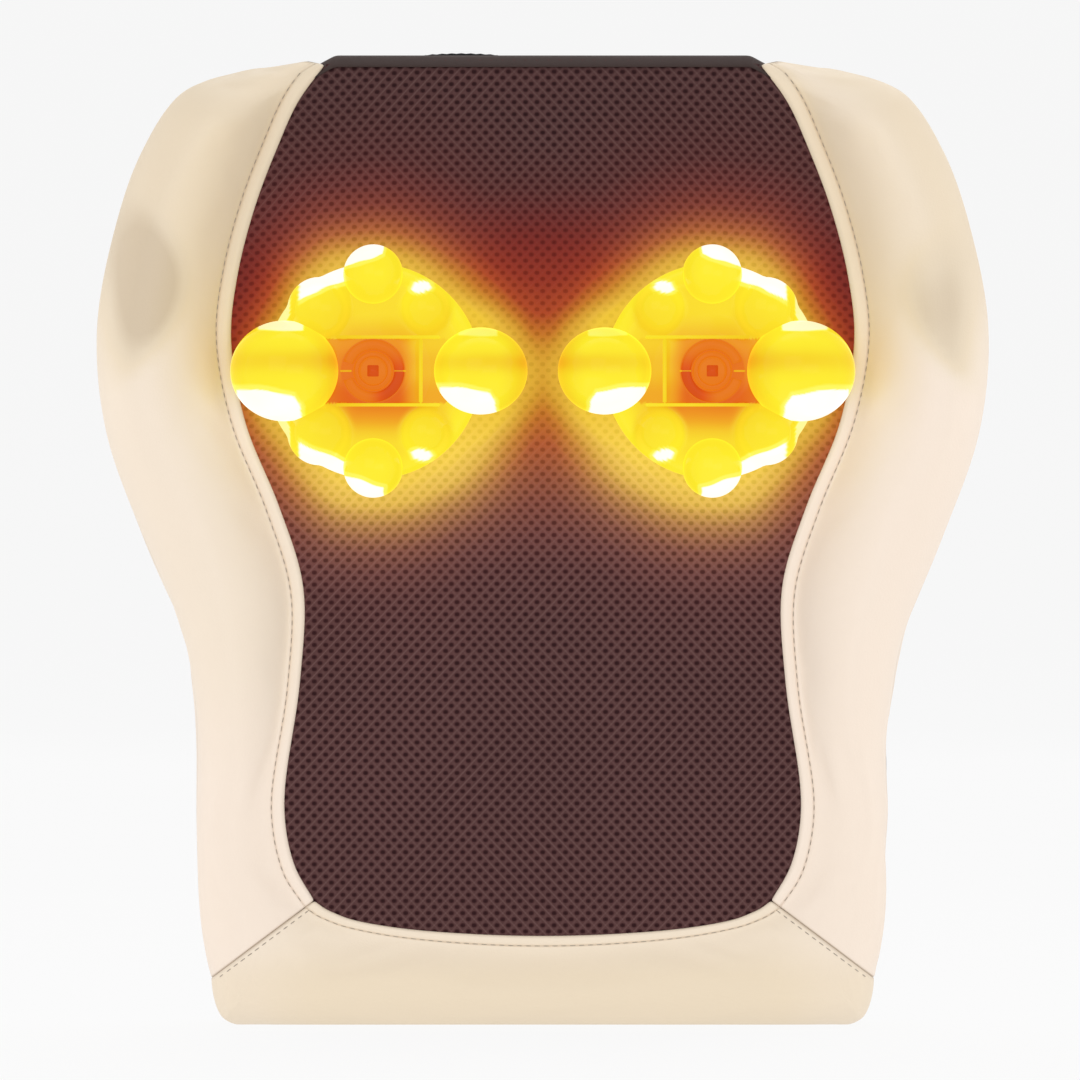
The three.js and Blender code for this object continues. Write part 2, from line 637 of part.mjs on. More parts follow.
// ---------- turning heads ----------
// out is measured away from the middle of the cushion, up from the head's axis.
const DISH_R = 40;
const DISH_TOP_Y = -33;
const DISH_EDGE = [
  [34, DISH_TOP_Y],
  [38.5, -31],
  [DISH_R, -28.5],
];
const DISH_WALL = 3;
const DISH_FLOOR_Y = -29.5; // inside of the dish
const HUB_R = 7.3;
const HUB_HEIGHT = 3.5;
const HUB_BACK = { r: 8, y: -25.5 }; // the hub's back end inside the dish
const BALLS = {
  outer_ball: { r: 20, out: 33, up: 0, y: -34.4, detail: 2 },
  inner_ball: { r: 17.3, out: -40, up: 0, y: -34, detail: 2 },
  top_ball: { r: 11, out: 0, up: 36, y: -31, detail: 1 },
  bottom_ball: { r: 11, out: 0, up: -36, y: -31, detail: 1 },
};
const BALL_GAP = 0.8; // between a coarse ball and the dish that is cut round it
const BUMPS = [
  { r: 12.5, out: 20, up: 23, y: -29, detail: 1 },
  { r: 12.5, out: 20, up: -23, y: -29, detail: 1 },
  { r: 10, out: -19.5, up: 23, y: -29, detail: 1 },
  { r: 10, out: -19.5, up: -23, y: -29, detail: 1 },
];
const RIB = { thick: 1.2, up: 12, inward: 22, outward: 12, cross: 17.7, height: 3 };
const CLIP = { rOut: 11.6, thick: 1.4, slot: 6 };
const HUB_SCREW = { r: 5.2, shankR: 1.8, low: 3.8, high: 5.8, socket: 4, socketDepth: 1 };

const TOOTH = [ // one tooth: radius beyond the pitch circle, then its angle as a share of the pitch
  [-1.6, -0.29],
  [1, -0.13],
  [1, 0.13],
  [-1.6, 0.29],
];
const WHEEL_HALF = 3.5;
function wormWheel(x, hand) {
  const pitch = (2 * Math.PI) / WHEEL_TEETH;
  const twist = (hand * WORM_LEAD) / (2 * Math.PI * WORM_R * WHEEL_R);
  const rings = [-WHEEL_HALF, WHEEL_HALF].map((dy) => {
    const points = [];
    for (let k = 0; k < WHEEL_TEETH; k++) {
      for (const [beyond, share] of TOOTH) {
        const angle = (k + 0.5 + share) * pitch + twist * dy;
        const r = WHEEL_R + beyond;
        points.push(new THREE.Vector3(x - r * Math.sin(angle), GEAR_Y + dy, HEAD_Z - r * Math.cos(angle)));
      }
    }
    return points;
  });
  return loft(rings, (i) => rings[i].map((p) => new THREE.Vector2(p.x, p.z)));
}

// The rectangular frame of ribs round a head's hub.
function hubRibs(x, side) {
  const y = [DISH_TOP_Y - RIB.height, DISH_TOP_Y + 1];
  const z = HEAD_Z + RIB.up;
  const long = [x - side * RIB.inward, x + side * RIB.outward];
  const cross = x - side * RIB.cross;
  return [
    box(...long, ...y, z, z + RIB.thick),
    box(...long, ...y, HEAD_Z - RIB.up - RIB.thick, HEAD_Z - RIB.up),
    box(cross - RIB.thick / 2, cross + RIB.thick / 2, ...y, HEAD_Z - RIB.up, HEAD_Z + RIB.up),
  ];
}

function makeHead(name, x) {
  const side = Math.sign(x);
  const at = ({ r, out, up, y, detail }) => ball(r, x + side * out, y, HEAD_Z + up, detail);
  const grown = Object.values(BALLS).map((spec) => at({ ...spec, r: spec.r + BALL_GAP, detail: 2 }));
  const behind = box(x - 70, x + 70, DISH_Y, 0, HEAD_Z - 70, HEAD_Z + 70);
  const seat = rodY(DISH_R + GAP, DISH_TOP_Y - GAP, 0, x, HEAD_Z, 24);
  const hubRoom = rodY(13, FAR_FRONT_Y, 0, x, HEAD_Z, 16);
  for (const [ballName, spec] of Object.entries(BALLS)) {
    piece(`${name}_${ballName}`, cut(at(spec), behind, seat, hubRoom), HEAD_PLASTIC);
  }
  const profile = [[0, DISH_TOP_Y], ...DISH_EDGE, [DISH_R, DISH_Y], [0, DISH_Y]];
  const bumps = BUMPS.map((spec) => cut(at(spec), ...grown));
  const ballRoom = grown.slice(0, 2).map((solid) => cut(solid, seat));
  const dish = cut(join(turned(profile, x, HEAD_Z), ...bumps, ...hubRibs(x, side)), ...ballRoom, behind);
  const hub = rodY(HUB_R, DISH_TOP_Y - HUB_HEIGHT, DISH_TOP_Y + 1, x, HEAD_Z, 16);
  const hubBack = rodY(HUB_BACK.r, FAR_FRONT_Y, HUB_BACK.y, x, HEAD_Z, 16);
  const hollow = cut(rodY(DISH_R - DISH_WALL, DISH_FLOOR_Y, 0, x, HEAD_Z, 24), hubBack);
  const bore = rodY(SHAFT_R + GAP, FAR_FRONT_Y, 0, x, HEAD_Z, 14);
  piece(`${name}_carrier`, cut(join(dish, hub), hollow, bore), HEAD_PLASTIC);

  const clipBack = DISH_TOP_Y - GAP;
  const clip = ring(CLIP.rOut, HUB_R + 2 * GAP, clipBack - CLIP.thick, clipBack, x, HEAD_Z, 18);
  const slot = box(x - side * 30, x, -40, 0, HEAD_Z - CLIP.slot / 2, HEAD_Z + CLIP.slot / 2);
  piece(`${name}_retaining_clip`, cut(clip, slot), HUB_PLASTIC);
  const screwTop = DISH_TOP_Y - HUB_SCREW.high;
  const shank = rodY(HUB_SCREW.shankR, DISH_TOP_Y - HUB_SCREW.low - 0.1, DISH_TOP_Y - 1, x, HEAD_Z, 8);
  const screw = rodY(HUB_SCREW.r, screwTop, DISH_TOP_Y - HUB_SCREW.low, x, HEAD_Z, 14);
  const half = HUB_SCREW.socket / 2;
  const socketEnd = screwTop + HUB_SCREW.socketDepth;
  const socket = box(x - half, x + half, screwTop - 1, socketEnd, HEAD_Z - half, HEAD_Z + half);
  piece(`${name}_hub_screw`, cut(join(screw, shank), socket), HUB_PLASTIC);

  piece(`${name}_shaft`, rodY(SHAFT_R, DISH_TOP_Y - 0.5, 36.5, x, HEAD_Z, 14), STEEL);
  const wheelBore = rodY(SHAFT_R + GAP, FAR_FRONT_Y, FAR_BACK_Y, x, HEAD_Z, 14);
  piece(`${name}_worm_wheel`, cut(wormWheel(x, -side), wheelBore), GEAR_PLASTIC);
  const bearings = { front: -12.4, rear: 28.3 };
  for (const [place, y] of Object.entries(bearings)) {
    const bearing = ring(BEARING_R, SHAFT_R + GAP, y, y + BEARING_LENGTH, x, HEAD_Z, 14);
    piece(`${name}_${place}_bearing`, bearing, STEEL);
  }
}

// ---------- lamps ----------
const LAMPS = 6;
const LAMP = { circle: 21, half: 1.7, height: 1.6 };
const LAMP_BOARD = { rOut: 28, rIn: 12, thick: 1.6 };
function makeLampBoard(name, x) {
  const back = TURRET_Y - GAP;
  const front = back - LAMP_BOARD.thick;
  const lamps = [];
  for (let k = 0; k < LAMPS; k++) {
    const angle = (2 * Math.PI * k) / LAMPS;
    const lx = x + LAMP.circle * Math.cos(angle);
    const lz = HEAD_Z + LAMP.circle * Math.sin(angle);
    const y = [front - 1, front - 1 + LAMP.height];
    lamps.push(box(lx - LAMP.half, lx + LAMP.half, ...y, lz - LAMP.half, lz + LAMP.half));
  }
  const board = ring(LAMP_BOARD.rOut, LAMP_BOARD.rIn, front, back, x, HEAD_Z, 20);
  piece(name, join(board, ...lamps), BOARD);
}

// ---------- controls ----------
const BUTTON_Z = CONTROL_Z + 7;
const JACK_Z = CONTROL_Z - 12;
const BUTTON_R = 8;
const BUTTON_BACK_X = 121;
const BUTTON_FLANGE = { r: BUTTON_R + 0.8, thick: 1.5 };
const BUTTON_TRAVEL = 1;
const JACK_R = 5.4;
const JACK_BORE_R = 3.3;
const JACK_BACK_X = 112;
const JACK_DEPTH = 12;
const HOUSING_BACK_X = 104;
const HOUSING_FACE = 2.5;
const HOUSING_WALL = 1.8;
const BOARD_THICK = 1.6;
const CONTROL_BOARD_X = 108;
const MOTOR_BOARD = { half: 40, front: 39, low: 184, high: 206 };

function makeControls() {
  const panel = (inset) => [
    CONTROL_Y - PANEL_DEPTH / 2 + inset,
    CONTROL_Y + PANEL_DEPTH / 2 - inset,
    CONTROL_Z - PANEL_HEIGHT / 2 + inset,
    CONTROL_Z + PANEL_HEIGHT / 2 - inset,
  ];
  const housing = cut(
    box(HOUSING_BACK_X, SIDE_X, ...panel(0)),
    box(HOUSING_BACK_X - 4, SIDE_X - HOUSING_FACE, ...panel(HOUSING_WALL)),
    rodX(BUTTON_R + GAP, BUTTON_BACK_X, FAR_X, CONTROL_Y, BUTTON_Z, 16),
    rodX(JACK_R + GAP, JACK_BACK_X, FAR_X, CONTROL_Y, JACK_Z, 14),
  );
  piece("control_housing", housing, CASE_PLASTIC);
  const flangeFront = BUTTON_BACK_X + BUTTON_FLANGE.thick;
  const cap = rodX(BUTTON_R, BUTTON_BACK_X, SIDE_X + BUTTON_TRAVEL, CONTROL_Y, BUTTON_Z, 16);
  const flange = rodX(BUTTON_FLANGE.r, BUTTON_BACK_X, flangeFront, CONTROL_Y, BUTTON_Z, 16);
  piece("power_button", join(cap, flange), GREY_PLASTIC);
  const jackFront = SIDE_X - GAP;
  const jack = cut(
    rodX(JACK_R, JACK_BACK_X, jackFront, CONTROL_Y, JACK_Z, 14),
    rodX(JACK_BORE_R, jackFront - JACK_DEPTH, FAR_X, CONTROL_Y, JACK_Z, 12),
  );
  piece("power_socket", jack, CASE_PLASTIC);
  const boardEnd = CONTROL_BOARD_X + BOARD_THICK;
  piece("control_board", box(CONTROL_BOARD_X, boardEnd, ...panel(HOUSING_WALL + 0.4)), BOARD);
  const { half, front, low, high } = MOTOR_BOARD;
  piece("motor_board", box(-half, half, front, front + BOARD_THICK, low, high), BOARD);
}

makePadding();
makeMeshFace();
makeFoamCore();
makeBack();
makeZip();
makeCasing();
makeGearbox();
makeMotor();
makeWormShaft();
for (const [side, x] of [["left", -HEAD_X], ["right", HEAD_X]]) {
  makeHead(`${side}_head`, x);
  makeLampBoard(`${side}_lamp_board`, x);
}
makeControls();

export default root;
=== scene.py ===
"""Looks of the shiatsu massage cushion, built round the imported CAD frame.

Lengths inside the helper functions are in millimetres, as in the CAD part; objects are in metres.
"""
import json
import math

import bmesh
import bpy
import numpy as np
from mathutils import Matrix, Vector
from mathutils.bvhtree import BVHTree


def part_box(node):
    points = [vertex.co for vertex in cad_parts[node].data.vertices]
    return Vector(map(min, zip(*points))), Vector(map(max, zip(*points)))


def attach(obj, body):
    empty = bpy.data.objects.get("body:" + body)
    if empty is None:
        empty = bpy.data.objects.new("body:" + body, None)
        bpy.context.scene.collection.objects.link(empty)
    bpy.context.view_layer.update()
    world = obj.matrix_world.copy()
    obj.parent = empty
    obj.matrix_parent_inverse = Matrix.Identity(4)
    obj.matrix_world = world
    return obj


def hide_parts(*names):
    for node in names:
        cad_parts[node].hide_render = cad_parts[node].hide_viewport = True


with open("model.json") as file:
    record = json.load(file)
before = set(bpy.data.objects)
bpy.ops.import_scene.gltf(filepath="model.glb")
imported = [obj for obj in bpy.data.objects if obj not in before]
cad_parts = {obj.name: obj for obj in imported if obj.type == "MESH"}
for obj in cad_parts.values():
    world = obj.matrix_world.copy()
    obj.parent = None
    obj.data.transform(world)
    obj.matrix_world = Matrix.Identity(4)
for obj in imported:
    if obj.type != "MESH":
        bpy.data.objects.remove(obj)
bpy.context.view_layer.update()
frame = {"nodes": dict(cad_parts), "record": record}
MM = 0.001
CASE = "case"

# ---------- driving dimensions, in millimetres ----------
def box_mm(node):
    low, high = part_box(node)
    return np.array(low) / MM, np.array(high) / MM


def centre_mm(node):
    low, high = box_mm(node)
    return (low + high) / 2


HEADS = {side: centre_mm(f"{side}_head_shaft") for side in ("left", "right")}
HEAD_X = HEADS["right"][0]
HEAD_Z = HEADS["right"][2]
DISH_BACK_Y = box_mm("left_head_carrier")[1][1]
FACE_Y = DISH_BACK_Y + 3.5
BACK_Y = box_mm("back_panel")[1][1]
TOP_Z = box_mm("top_gusset")[1][2]
TOP_X = box_mm("top_gusset")[1][0]
BAND = 5.8
LIP = 22.0
SWELL = 5.0
SWELL_Z = 105.0
SWELL_SPREAD = 50.0
SWELL_HALF = 130.0
MESH_RADIUS = 8.0
HOLE_PITCH = 4.25
ROW_PITCH = 2.27

# The cushion's ribs: a point on the mesh's edge, then one on the outline.
WING_RIBS = [
    (80.5, 358.0, 87.0, 359.2),
    (91, 343.5, 113.5, 354.4),
    (98.5, 327, 133.5, 347),
    (107, 304.5, 148.5, 325),
    (113.5, 279, 159, 294.5),
    (115.9, 255, 165.3, 258),
    (110.5, 224, 161.8, 220.5),
    (98, 193, 148, 181),
    (89, 163, 134.8, 146.5),
    (90.2, 128, 129, 112),
    (96.1, 82, 128.4, 74),
    (92.5, 60, 127, 40),
    (85, 46.3, 123.6, 17.5),
]
BOTTOM_RIBS = [
    (85, 46.3, 123.6, 17.5),
    (81, 43.4, 121.6, 7.5),
    (77, 41.5, 118.3, 2.2),
    (71, 39.3, 111, 0),
    (54, 36.2, 80, 0),
    (28, 34, 40, 0),
    (0, 33.2, 0, 0),
]


def mirrored(ribs):
    return [(-a, b, -c, d) for a, b, c, d in ribs]


ALL_BOTTOM = BOTTOM_RIBS + mirrored(BOTTOM_RIBS)[-2::-1]


# ---------- curves and distances ----------
def grey(value):
    return (value,) * 3


def xyz(x, y, z):
    """Points from three coordinates, each an array or a number."""
    return np.stack(np.broadcast_arrays(x, y, z), -1)


def turns(count):
    """Angles spread evenly round a circle."""
    return np.linspace(0, 2 * math.pi, count, endpoint=False)


def squarish(count, wide, tall):
    """A closed outline of half size 1, squarer the smaller its two powers are."""
    cos, sin = np.cos(turns(count)), np.sin(turns(count))
    return np.sign(cos) * np.abs(cos) ** wide, np.sign(sin) * np.abs(sin) ** tall


def curve_points(points, where):
    """A centripetal Catmull-Rom curve through the points, at parameters from 0 to 1."""
    points = np.asarray(points, float)
    first = 2 * points[0] - points[1]
    last = 2 * points[-1] - points[-2]
    padded = np.vstack([first, points, last])
    place = np.clip(np.asarray(where, float), 0, 1) * (len(points) - 1)
    start = np.minimum(place.astype(int), len(points) - 2)
    weight = (place - start)[:, None]
    p0, p1, p2, p3 = (padded[start + k] for k in range(4))
    gap = [np.sqrt(np.linalg.norm(b - a, axis=1))[:, None] for a, b in ((p0, p1), (p1, p2), (p2, p3))]
    d0, d1, d2 = (np.maximum(g, 1e-6) for g in gap)
    t1 = ((p1 - p0) / d0 - (p2 - p0) / (d0 + d1) + (p2 - p1) / d1) * d1
    t2 = ((p2 - p1) / d1 - (p3 - p1) / (d1 + d2) + (p3 - p2) / d2) * d1
    c2 = 3 * (p2 - p1) - 2 * t1 - t2
    c3 = 2 * (p1 - p2) + t1 + t2
    return p1 + weight * (t1 + weight * (c2 + weight * c3))


def ribs_along(table, where):
    """Edge points and outline points of the ribs, each as rows of x, z at or above the floor."""
    table = np.asarray(table, float)
    floor = (-np.inf, 0)
    return [np.maximum(curve_points(half, where), floor) for half in (table[:, :2], table[:, 2:])]


def outward(edge, outer):
    """The direction from the mesh's edge to the outline at each rib, and how far apart they are."""
    away = outer - edge
    width = np.linalg.norm(away, axis=1)
    return away / width[:, None], width


FINE = np.linspace(0, 1, 97)
wing_edge, wing_outer = ribs_along(WING_RIBS, FINE)
bottom_edge, bottom_outer = ribs_along(ALL_BOTTOM, FINE)
FLIP = np.array([-1, 1])


def closed_by(right, bottom):
    return np.vstack([right, bottom[1:], (right * FLIP)[::-1][1:]])


MESH_EDGE = closed_by(wing_edge, bottom_edge)
SIDES = closed_by(wing_outer, bottom_outer)
OUTLINE = np.vstack([[0, TOP_Z], [TOP_X, TOP_Z], SIDES, [-TOP_X, TOP_Z], [0, TOP_Z]])


def distance_to(line, x, z):
    """The distance of each point x, z from a polyline."""
    shape = np.shape(x)
    points = np.stack([np.ravel(x), np.ravel(z)], axis=1)
    best = np.full(len(points), np.inf)
    for a, b in zip(line[:-1], line[1:]):
        run = b - a
        size = max(run @ run, 1e-9)
        t = np.clip((points - a) @ run / size, 0, 1)
        best = np.minimum(best, np.linalg.norm(points - a - t[:, None] * run, axis=1))
    return best.reshape(shape)


def smooth(low, high, value):
    t = np.clip((value - low) / (high - low), 0, 1)
    return t * t * (3 - 2 * t)


def band_width(edge, width):
    """Width of the plain band beside the mesh, narrower low down and along the bottom."""
    z = edge[:, 1]
    return np.minimum(BAND * (1 - 0.12 * smooth(280, 200, z) - 0.22 * smooth(60, 38, z)), 0.45 * width)


def swell(x, z):
    """How far the mesh bulges forward, most of all low down in the middle."""
    return SWELL * np.exp(-(((z - SWELL_Z) / SWELL_SPREAD) ** 2)) * (1 - (x / SWELL_HALF) ** 2)


def crown_at(z):
    """How far the padding stands out in front of the mesh, higher at the shoulders."""
    return 8 + 20 * smooth(50, 240, z)


def round_off(radius, distance):
    """How far a rounded edge falls back, at a distance in from its outline."""
    inner = np.clip(radius - distance, 0, radius)
    return radius - np.sqrt(radius**2 - inner**2)


def front_y(x, z, padding):
    """Front of the cushion at x, z: the mesh's level, and the padded crown outside its edge."""
    out = distance_to(OUTLINE, x, z)
    level = FACE_Y - swell(x, z)
    if not padding:
        return level + round_off(MESH_RADIUS, out)
    into = distance_to(MESH_EDGE, x, z)
    width = into + out
    t = np.clip((into - BAND) / (0.75 * np.maximum(1, width - BAND)), 0, 1)
    rise = 1 - (1 - t) ** 2.2
    radius = MESH_RADIUS + (4 + 0.4 * crown_at(z)) * smooth(0, 30, into)
    return level - crown_at(z) * rise * smooth(8, 45, width) + round_off(radius, out)


def back_radius(width, z):
    """Radius of the cover's edge where its side turns on to the back."""
    return np.minimum(9 + 13 * smooth(60, 200, z), 0.55 * width)


def lip_place(width, z):
    """How far outside the mesh's edge the cover's lip ends on the back."""
    return np.maximum(width - np.maximum(LIP, back_radius(width, z) + 2), 0.2 * width)


# ---------- mesh helpers ----------
def grid_faces(rows, columns, wrap=False):
    across = columns if wrap else columns - 1
    i, j = np.meshgrid(np.arange(rows - 1), np.arange(across), indexing="ij")
    k = (j + 1) % columns
    quads = np.stack([i * columns + j, i * columns + k, (i + 1) * columns + k, (i + 1) * columns + j], -1)
    return quads.reshape(-1, 4).tolist()


def make_object(name, points_mm, faces, mat, body=CASE, slot=None):
    """A smooth-shaded mesh object from points in millimetres, riding on a body."""
    mesh = bpy.data.meshes.new(name)
    mesh.from_pydata((np.asarray(points_mm, float) * MM).tolist(), [], faces)
    mesh.update()
    mesh.polygons.foreach_set("use_smooth", [True] * len(mesh.polygons))
    mesh.materials.append(mat)
    obj = bpy.data.objects.new(name, mesh)
    bpy.context.scene.collection.objects.link(obj)
    if body:
        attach(obj, body)
    return obj


def set_attribute(obj, name, values):
    layer = obj.data.attributes.new(name, "FLOAT", "POINT")
    layer.data.foreach_set("value", np.asarray(values, np.float32))


def recalculate_normals(obj):
    work = bmesh.new()
    work.from_mesh(obj.data)
    bmesh.ops.recalc_face_normals(work, faces=work.faces)
    work.to_mesh(obj.data)
    work.free()


def subdivided(obj):
    step = obj.modifiers.new("finer", "SUBSURF")
    step.levels = 1
    step.render_levels = 1
    return obj


class Parts:
    """The points and faces of several small shapes that make one piece."""

    def __init__(self):
        self.points = []
        self.faces = []

    def add(self, points, faces):
        start = len(self.points)
        self.points.extend(np.asarray(points, float).tolist())
        self.faces.extend([[start + v for v in face] for face in faces])

    def box(self, low, high, bevel=0.4, segments=2):
        """A box with rounded edges."""
        work = bmesh.new()
        bmesh.ops.create_cube(work, size=1)
        low, high = np.array(low, float), np.array(high, float)
        for v in work.verts:
            v.co = Vector((np.array(v.co) + 0.5) * (high - low) + low)
        bmesh.ops.bevel(work, geom=work.edges[:], offset=bevel, segments=segments, affect="EDGES")
        self.add([v.co[:] for v in work.verts], [[v.index for v in f.verts] for f in work.faces])
        work.free()

    def rings(self, rings, capped=False):
        """A skin over closed rings of points, with flat ends where capped."""
        rings = np.asarray(rings, float)
        rows, count = rings.shape[:2]
        faces = grid_faces(rows, count, wrap=True)
        if capped:
            faces.append(list(range(count)))
            faces.append(list(range((rows - 1) * count, rows * count)))
        self.add(rings.reshape(-1, 3), faces)

    def turned(self, profile, x, z, sides=48):
        """A profile of radius, y pairs turned round the Y axis through x, z; ends on the axis are closed."""
        circle = xyz(np.cos(turns(sides)), 0, np.sin(turns(sides)))
        self.rings([np.array([x, y, z]) + r * circle for r, y in profile])

    def turned_x(self, profile, y, z, sides=48):
        """The same with radius, x pairs, round a line along X through y, z."""
        circle = xyz(0, np.cos(turns(sides)), np.sin(turns(sides)))
        self.rings([np.array([x, y, z]) + r * circle for r, x in profile])

    def webbing(self, path, outward, across, half, thick, ribs, bow=0.0):
        """A closed strap of ribbed webbing along a path; its edges lie lower than its middle by the bow."""
        t = np.linspace(-1, 1, 4 * ribs + 1)
        edge = 0.4 * thick * smooth(0.94, 1.0, np.abs(t))
        top = thick / 2 - edge + 0.08 * thick * (np.cos(math.pi * ribs * (t + 1)) - 1)
        under = edge - thick / 2
        section = np.vstack([np.stack([t * half, top], 1), np.stack([t * half, under], 1)[::-1]])
        section[:, 1] -= bow * (section[:, 0] / half) ** 2
        wide = np.asarray(across, float) * section[:, :1]
        high = np.asarray(outward, float)[:, None] * section[None, :, 1:]
        self.rings(np.asarray(path, float)[:, None] + wide[None] + high, capped=True)

    def make(self, name, mat, **where):
        obj = make_object(name, self.points, self.faces, mat, **where)
        recalculate_normals(obj)
        return obj


# ---------- materials ----------
class Nodes:
    """A short way to write a node material."""

    def __init__(self, name):
        self.mat = bpy.data.materials.new(name)
        self.mat.use_nodes = True
        self.tree = self.mat.node_tree
        self.shader = self.tree.nodes["Principled BSDF"]

    def add(self, kind, inputs=None, **settings):
        node = self.tree.nodes.new(kind)
        for key, value in settings.items():
            setattr(node, key, value)
        for key, value in (inputs or {}).items():
            if isinstance(value, bpy.types.NodeSocket):
                self.tree.links.new(value, node.inputs[key])
            else:
                node.inputs[key].default_value = value
        return node

    def link(self, output, target):
        self.tree.links.new(output, self.shader.inputs[target])

    def place(self):
        return self.add("ShaderNodeTexCoord").outputs["Object"]

    def scaled(self, vector, scale):
        node = self.add("ShaderNodeMapping", {"Vector": vector})
        node.inputs["Scale"].default_value = scale
        return node.outputs["Vector"]

    def attribute(self, name):
        return self.add("ShaderNodeAttribute", attribute_name=name).outputs["Fac"]

    def noise(self, vector, scale, detail):
        settings = {"Vector": vector, "Scale": scale, "Detail": detail}
        return self.add("ShaderNodeTexNoise", settings).outputs["Fac"]

    def math(self, operation, a, b=0.0, clamp=False):
        return self.add("ShaderNodeMath", {0: a, 1: b}, operation=operation, use_clamp=clamp).outputs[0]

    def varied(self, value, cloud, amount):
        """A value from 0 to 1 that a cloud raises and lowers by up to half the amount."""
        change = self.math("MULTIPLY", self.math("SUBTRACT", cloud, 0.5), amount)
        return self.math("ADD", value, change, clamp=True)

    def ramp(self, value, stops):
        node = self.add("ShaderNodeValToRGB", {"Fac": value})
        ramp = node.color_ramp
        while len(ramp.elements) < len(stops):
            ramp.elements.new(0.5)
        for element, (position, color) in zip(ramp.elements, stops):
            element.position = position
            element.color = (*color, 1) if len(color) == 3 else color
        return node.outputs["Color"]

    def mix(self, factor, a, b, blend="MIX"):
        node = self.add("ShaderNodeMix", data_type="RGBA", blend_type=blend)
        for socket, value in ((node.inputs[0], factor), (node.inputs[6], a), (node.inputs[7], b)):
            if isinstance(value, bpy.types.NodeSocket):
                self.tree.links.new(value, socket)
            else:
                socket.default_value = value if isinstance(value, float) else (*value, 1)
        return node.outputs[2]

    def bump(self, height, strength, distance, normal=None):
        node = self.add("ShaderNodeBump", {"Height": height})
        node.inputs["Strength"].default_value = strength
        node.inputs["Distance"].default_value = distance
        if normal is not None:
            self.tree.links.new(normal, node.inputs["Normal"])
        return node.outputs["Normal"]

    def finish(self, **values):
        for key, value in values.items():
            self.shader.inputs[key.replace("_", " ")].default_value = value
        return self.mat


BLACK = (0.0, 0.0, 0.0)
WHITE = (1.0, 1.0, 1.0)
# Leather colour from pale to dark; the darker stops carry painted shade.
LEATHER_SHADE_TONES = [
    (0.0, (0.915, 0.785, 0.668)),
    (0.25, (0.885, 0.762, 0.622)),
    (0.55, (0.830, 0.698, 0.522)),
    (0.75, (0.775, 0.652, 0.488)),
    (1.0, (0.650, 0.530, 0.382)),
]


def leather_material():
    """Grained leather, darkened by painted shade on the shoulders and the bottom roll, and by painted shade
    in its seams and creases.
    """
    n = Nodes("cream_leather_grained")
    place = n.place()
    broad = n.noise(place, 9.0, 2.0)
    mottled = n.noise(place, 160.0, 4.0)
    tone = n.varied(n.attribute("tan"), broad, 0.10)
    base = n.ramp(tone, LEATHER_SHADE_TONES)
    base = n.mix(n.math("MULTIPLY", mottled, 0.06), base, (0.70, 0.57, 0.45))
    # Painted shade in the seams and creases.
    seam_shaded = n.mix(n.attribute("seam"), base, (0.46, 0.37, 0.28))
    n.link(seam_shaded, "Base Color")
    cells = n.add("ShaderNodeTexVoronoi", {"Vector": place, "Scale": 1500.0}, feature="SMOOTH_F1")
    cells = cells.outputs["Distance"]
    pores = n.noise(place, 4200.0, 2.0)
    height = n.math("ADD", n.math("MULTIPLY", cells, 0.8), n.math("MULTIPLY", pores, 0.35))
    soft = n.bump(broad, 0.25, 0.004)
    n.link(n.bump(height, 0.22, 0.0002, soft), "Normal")
    n.link(n.ramp(mottled, [(0.3, grey(0.46)), (0.75, grey(0.58))]), "Roughness")
    return n.finish(Specular_IOR_Level=0.26, Coat_Weight=0.03, Coat_Roughness=0.35)


def thread_material(name, color):
    """Sewing thread, with its twist."""
    n = Nodes(name)
    place = n.place()
    twist = {"Vector": place, "Scale": 5200.0, "Distortion": 1.5}
    strands = n.add("ShaderNodeTexWave", twist, bands_direction="DIAGONAL").outputs["Fac"]
    dark = tuple(c * 0.55 for c in color)
    n.link(n.mix(strands, dark, color), "Base Color")
    n.link(n.bump(strands, 0.5, 0.0001), "Normal")
    return n.finish(Roughness=0.7)


def strand_lines(n, phase):
    """Thin lines along one diagonal of the knit, where the phase passes a knot."""
    away = n.math("ABSOLUTE", n.math("COSINE", n.math("MULTIPLY", phase, 0.5)))
    return n.ramp(away, [(0.0, WHITE), (0.36, BLACK)])


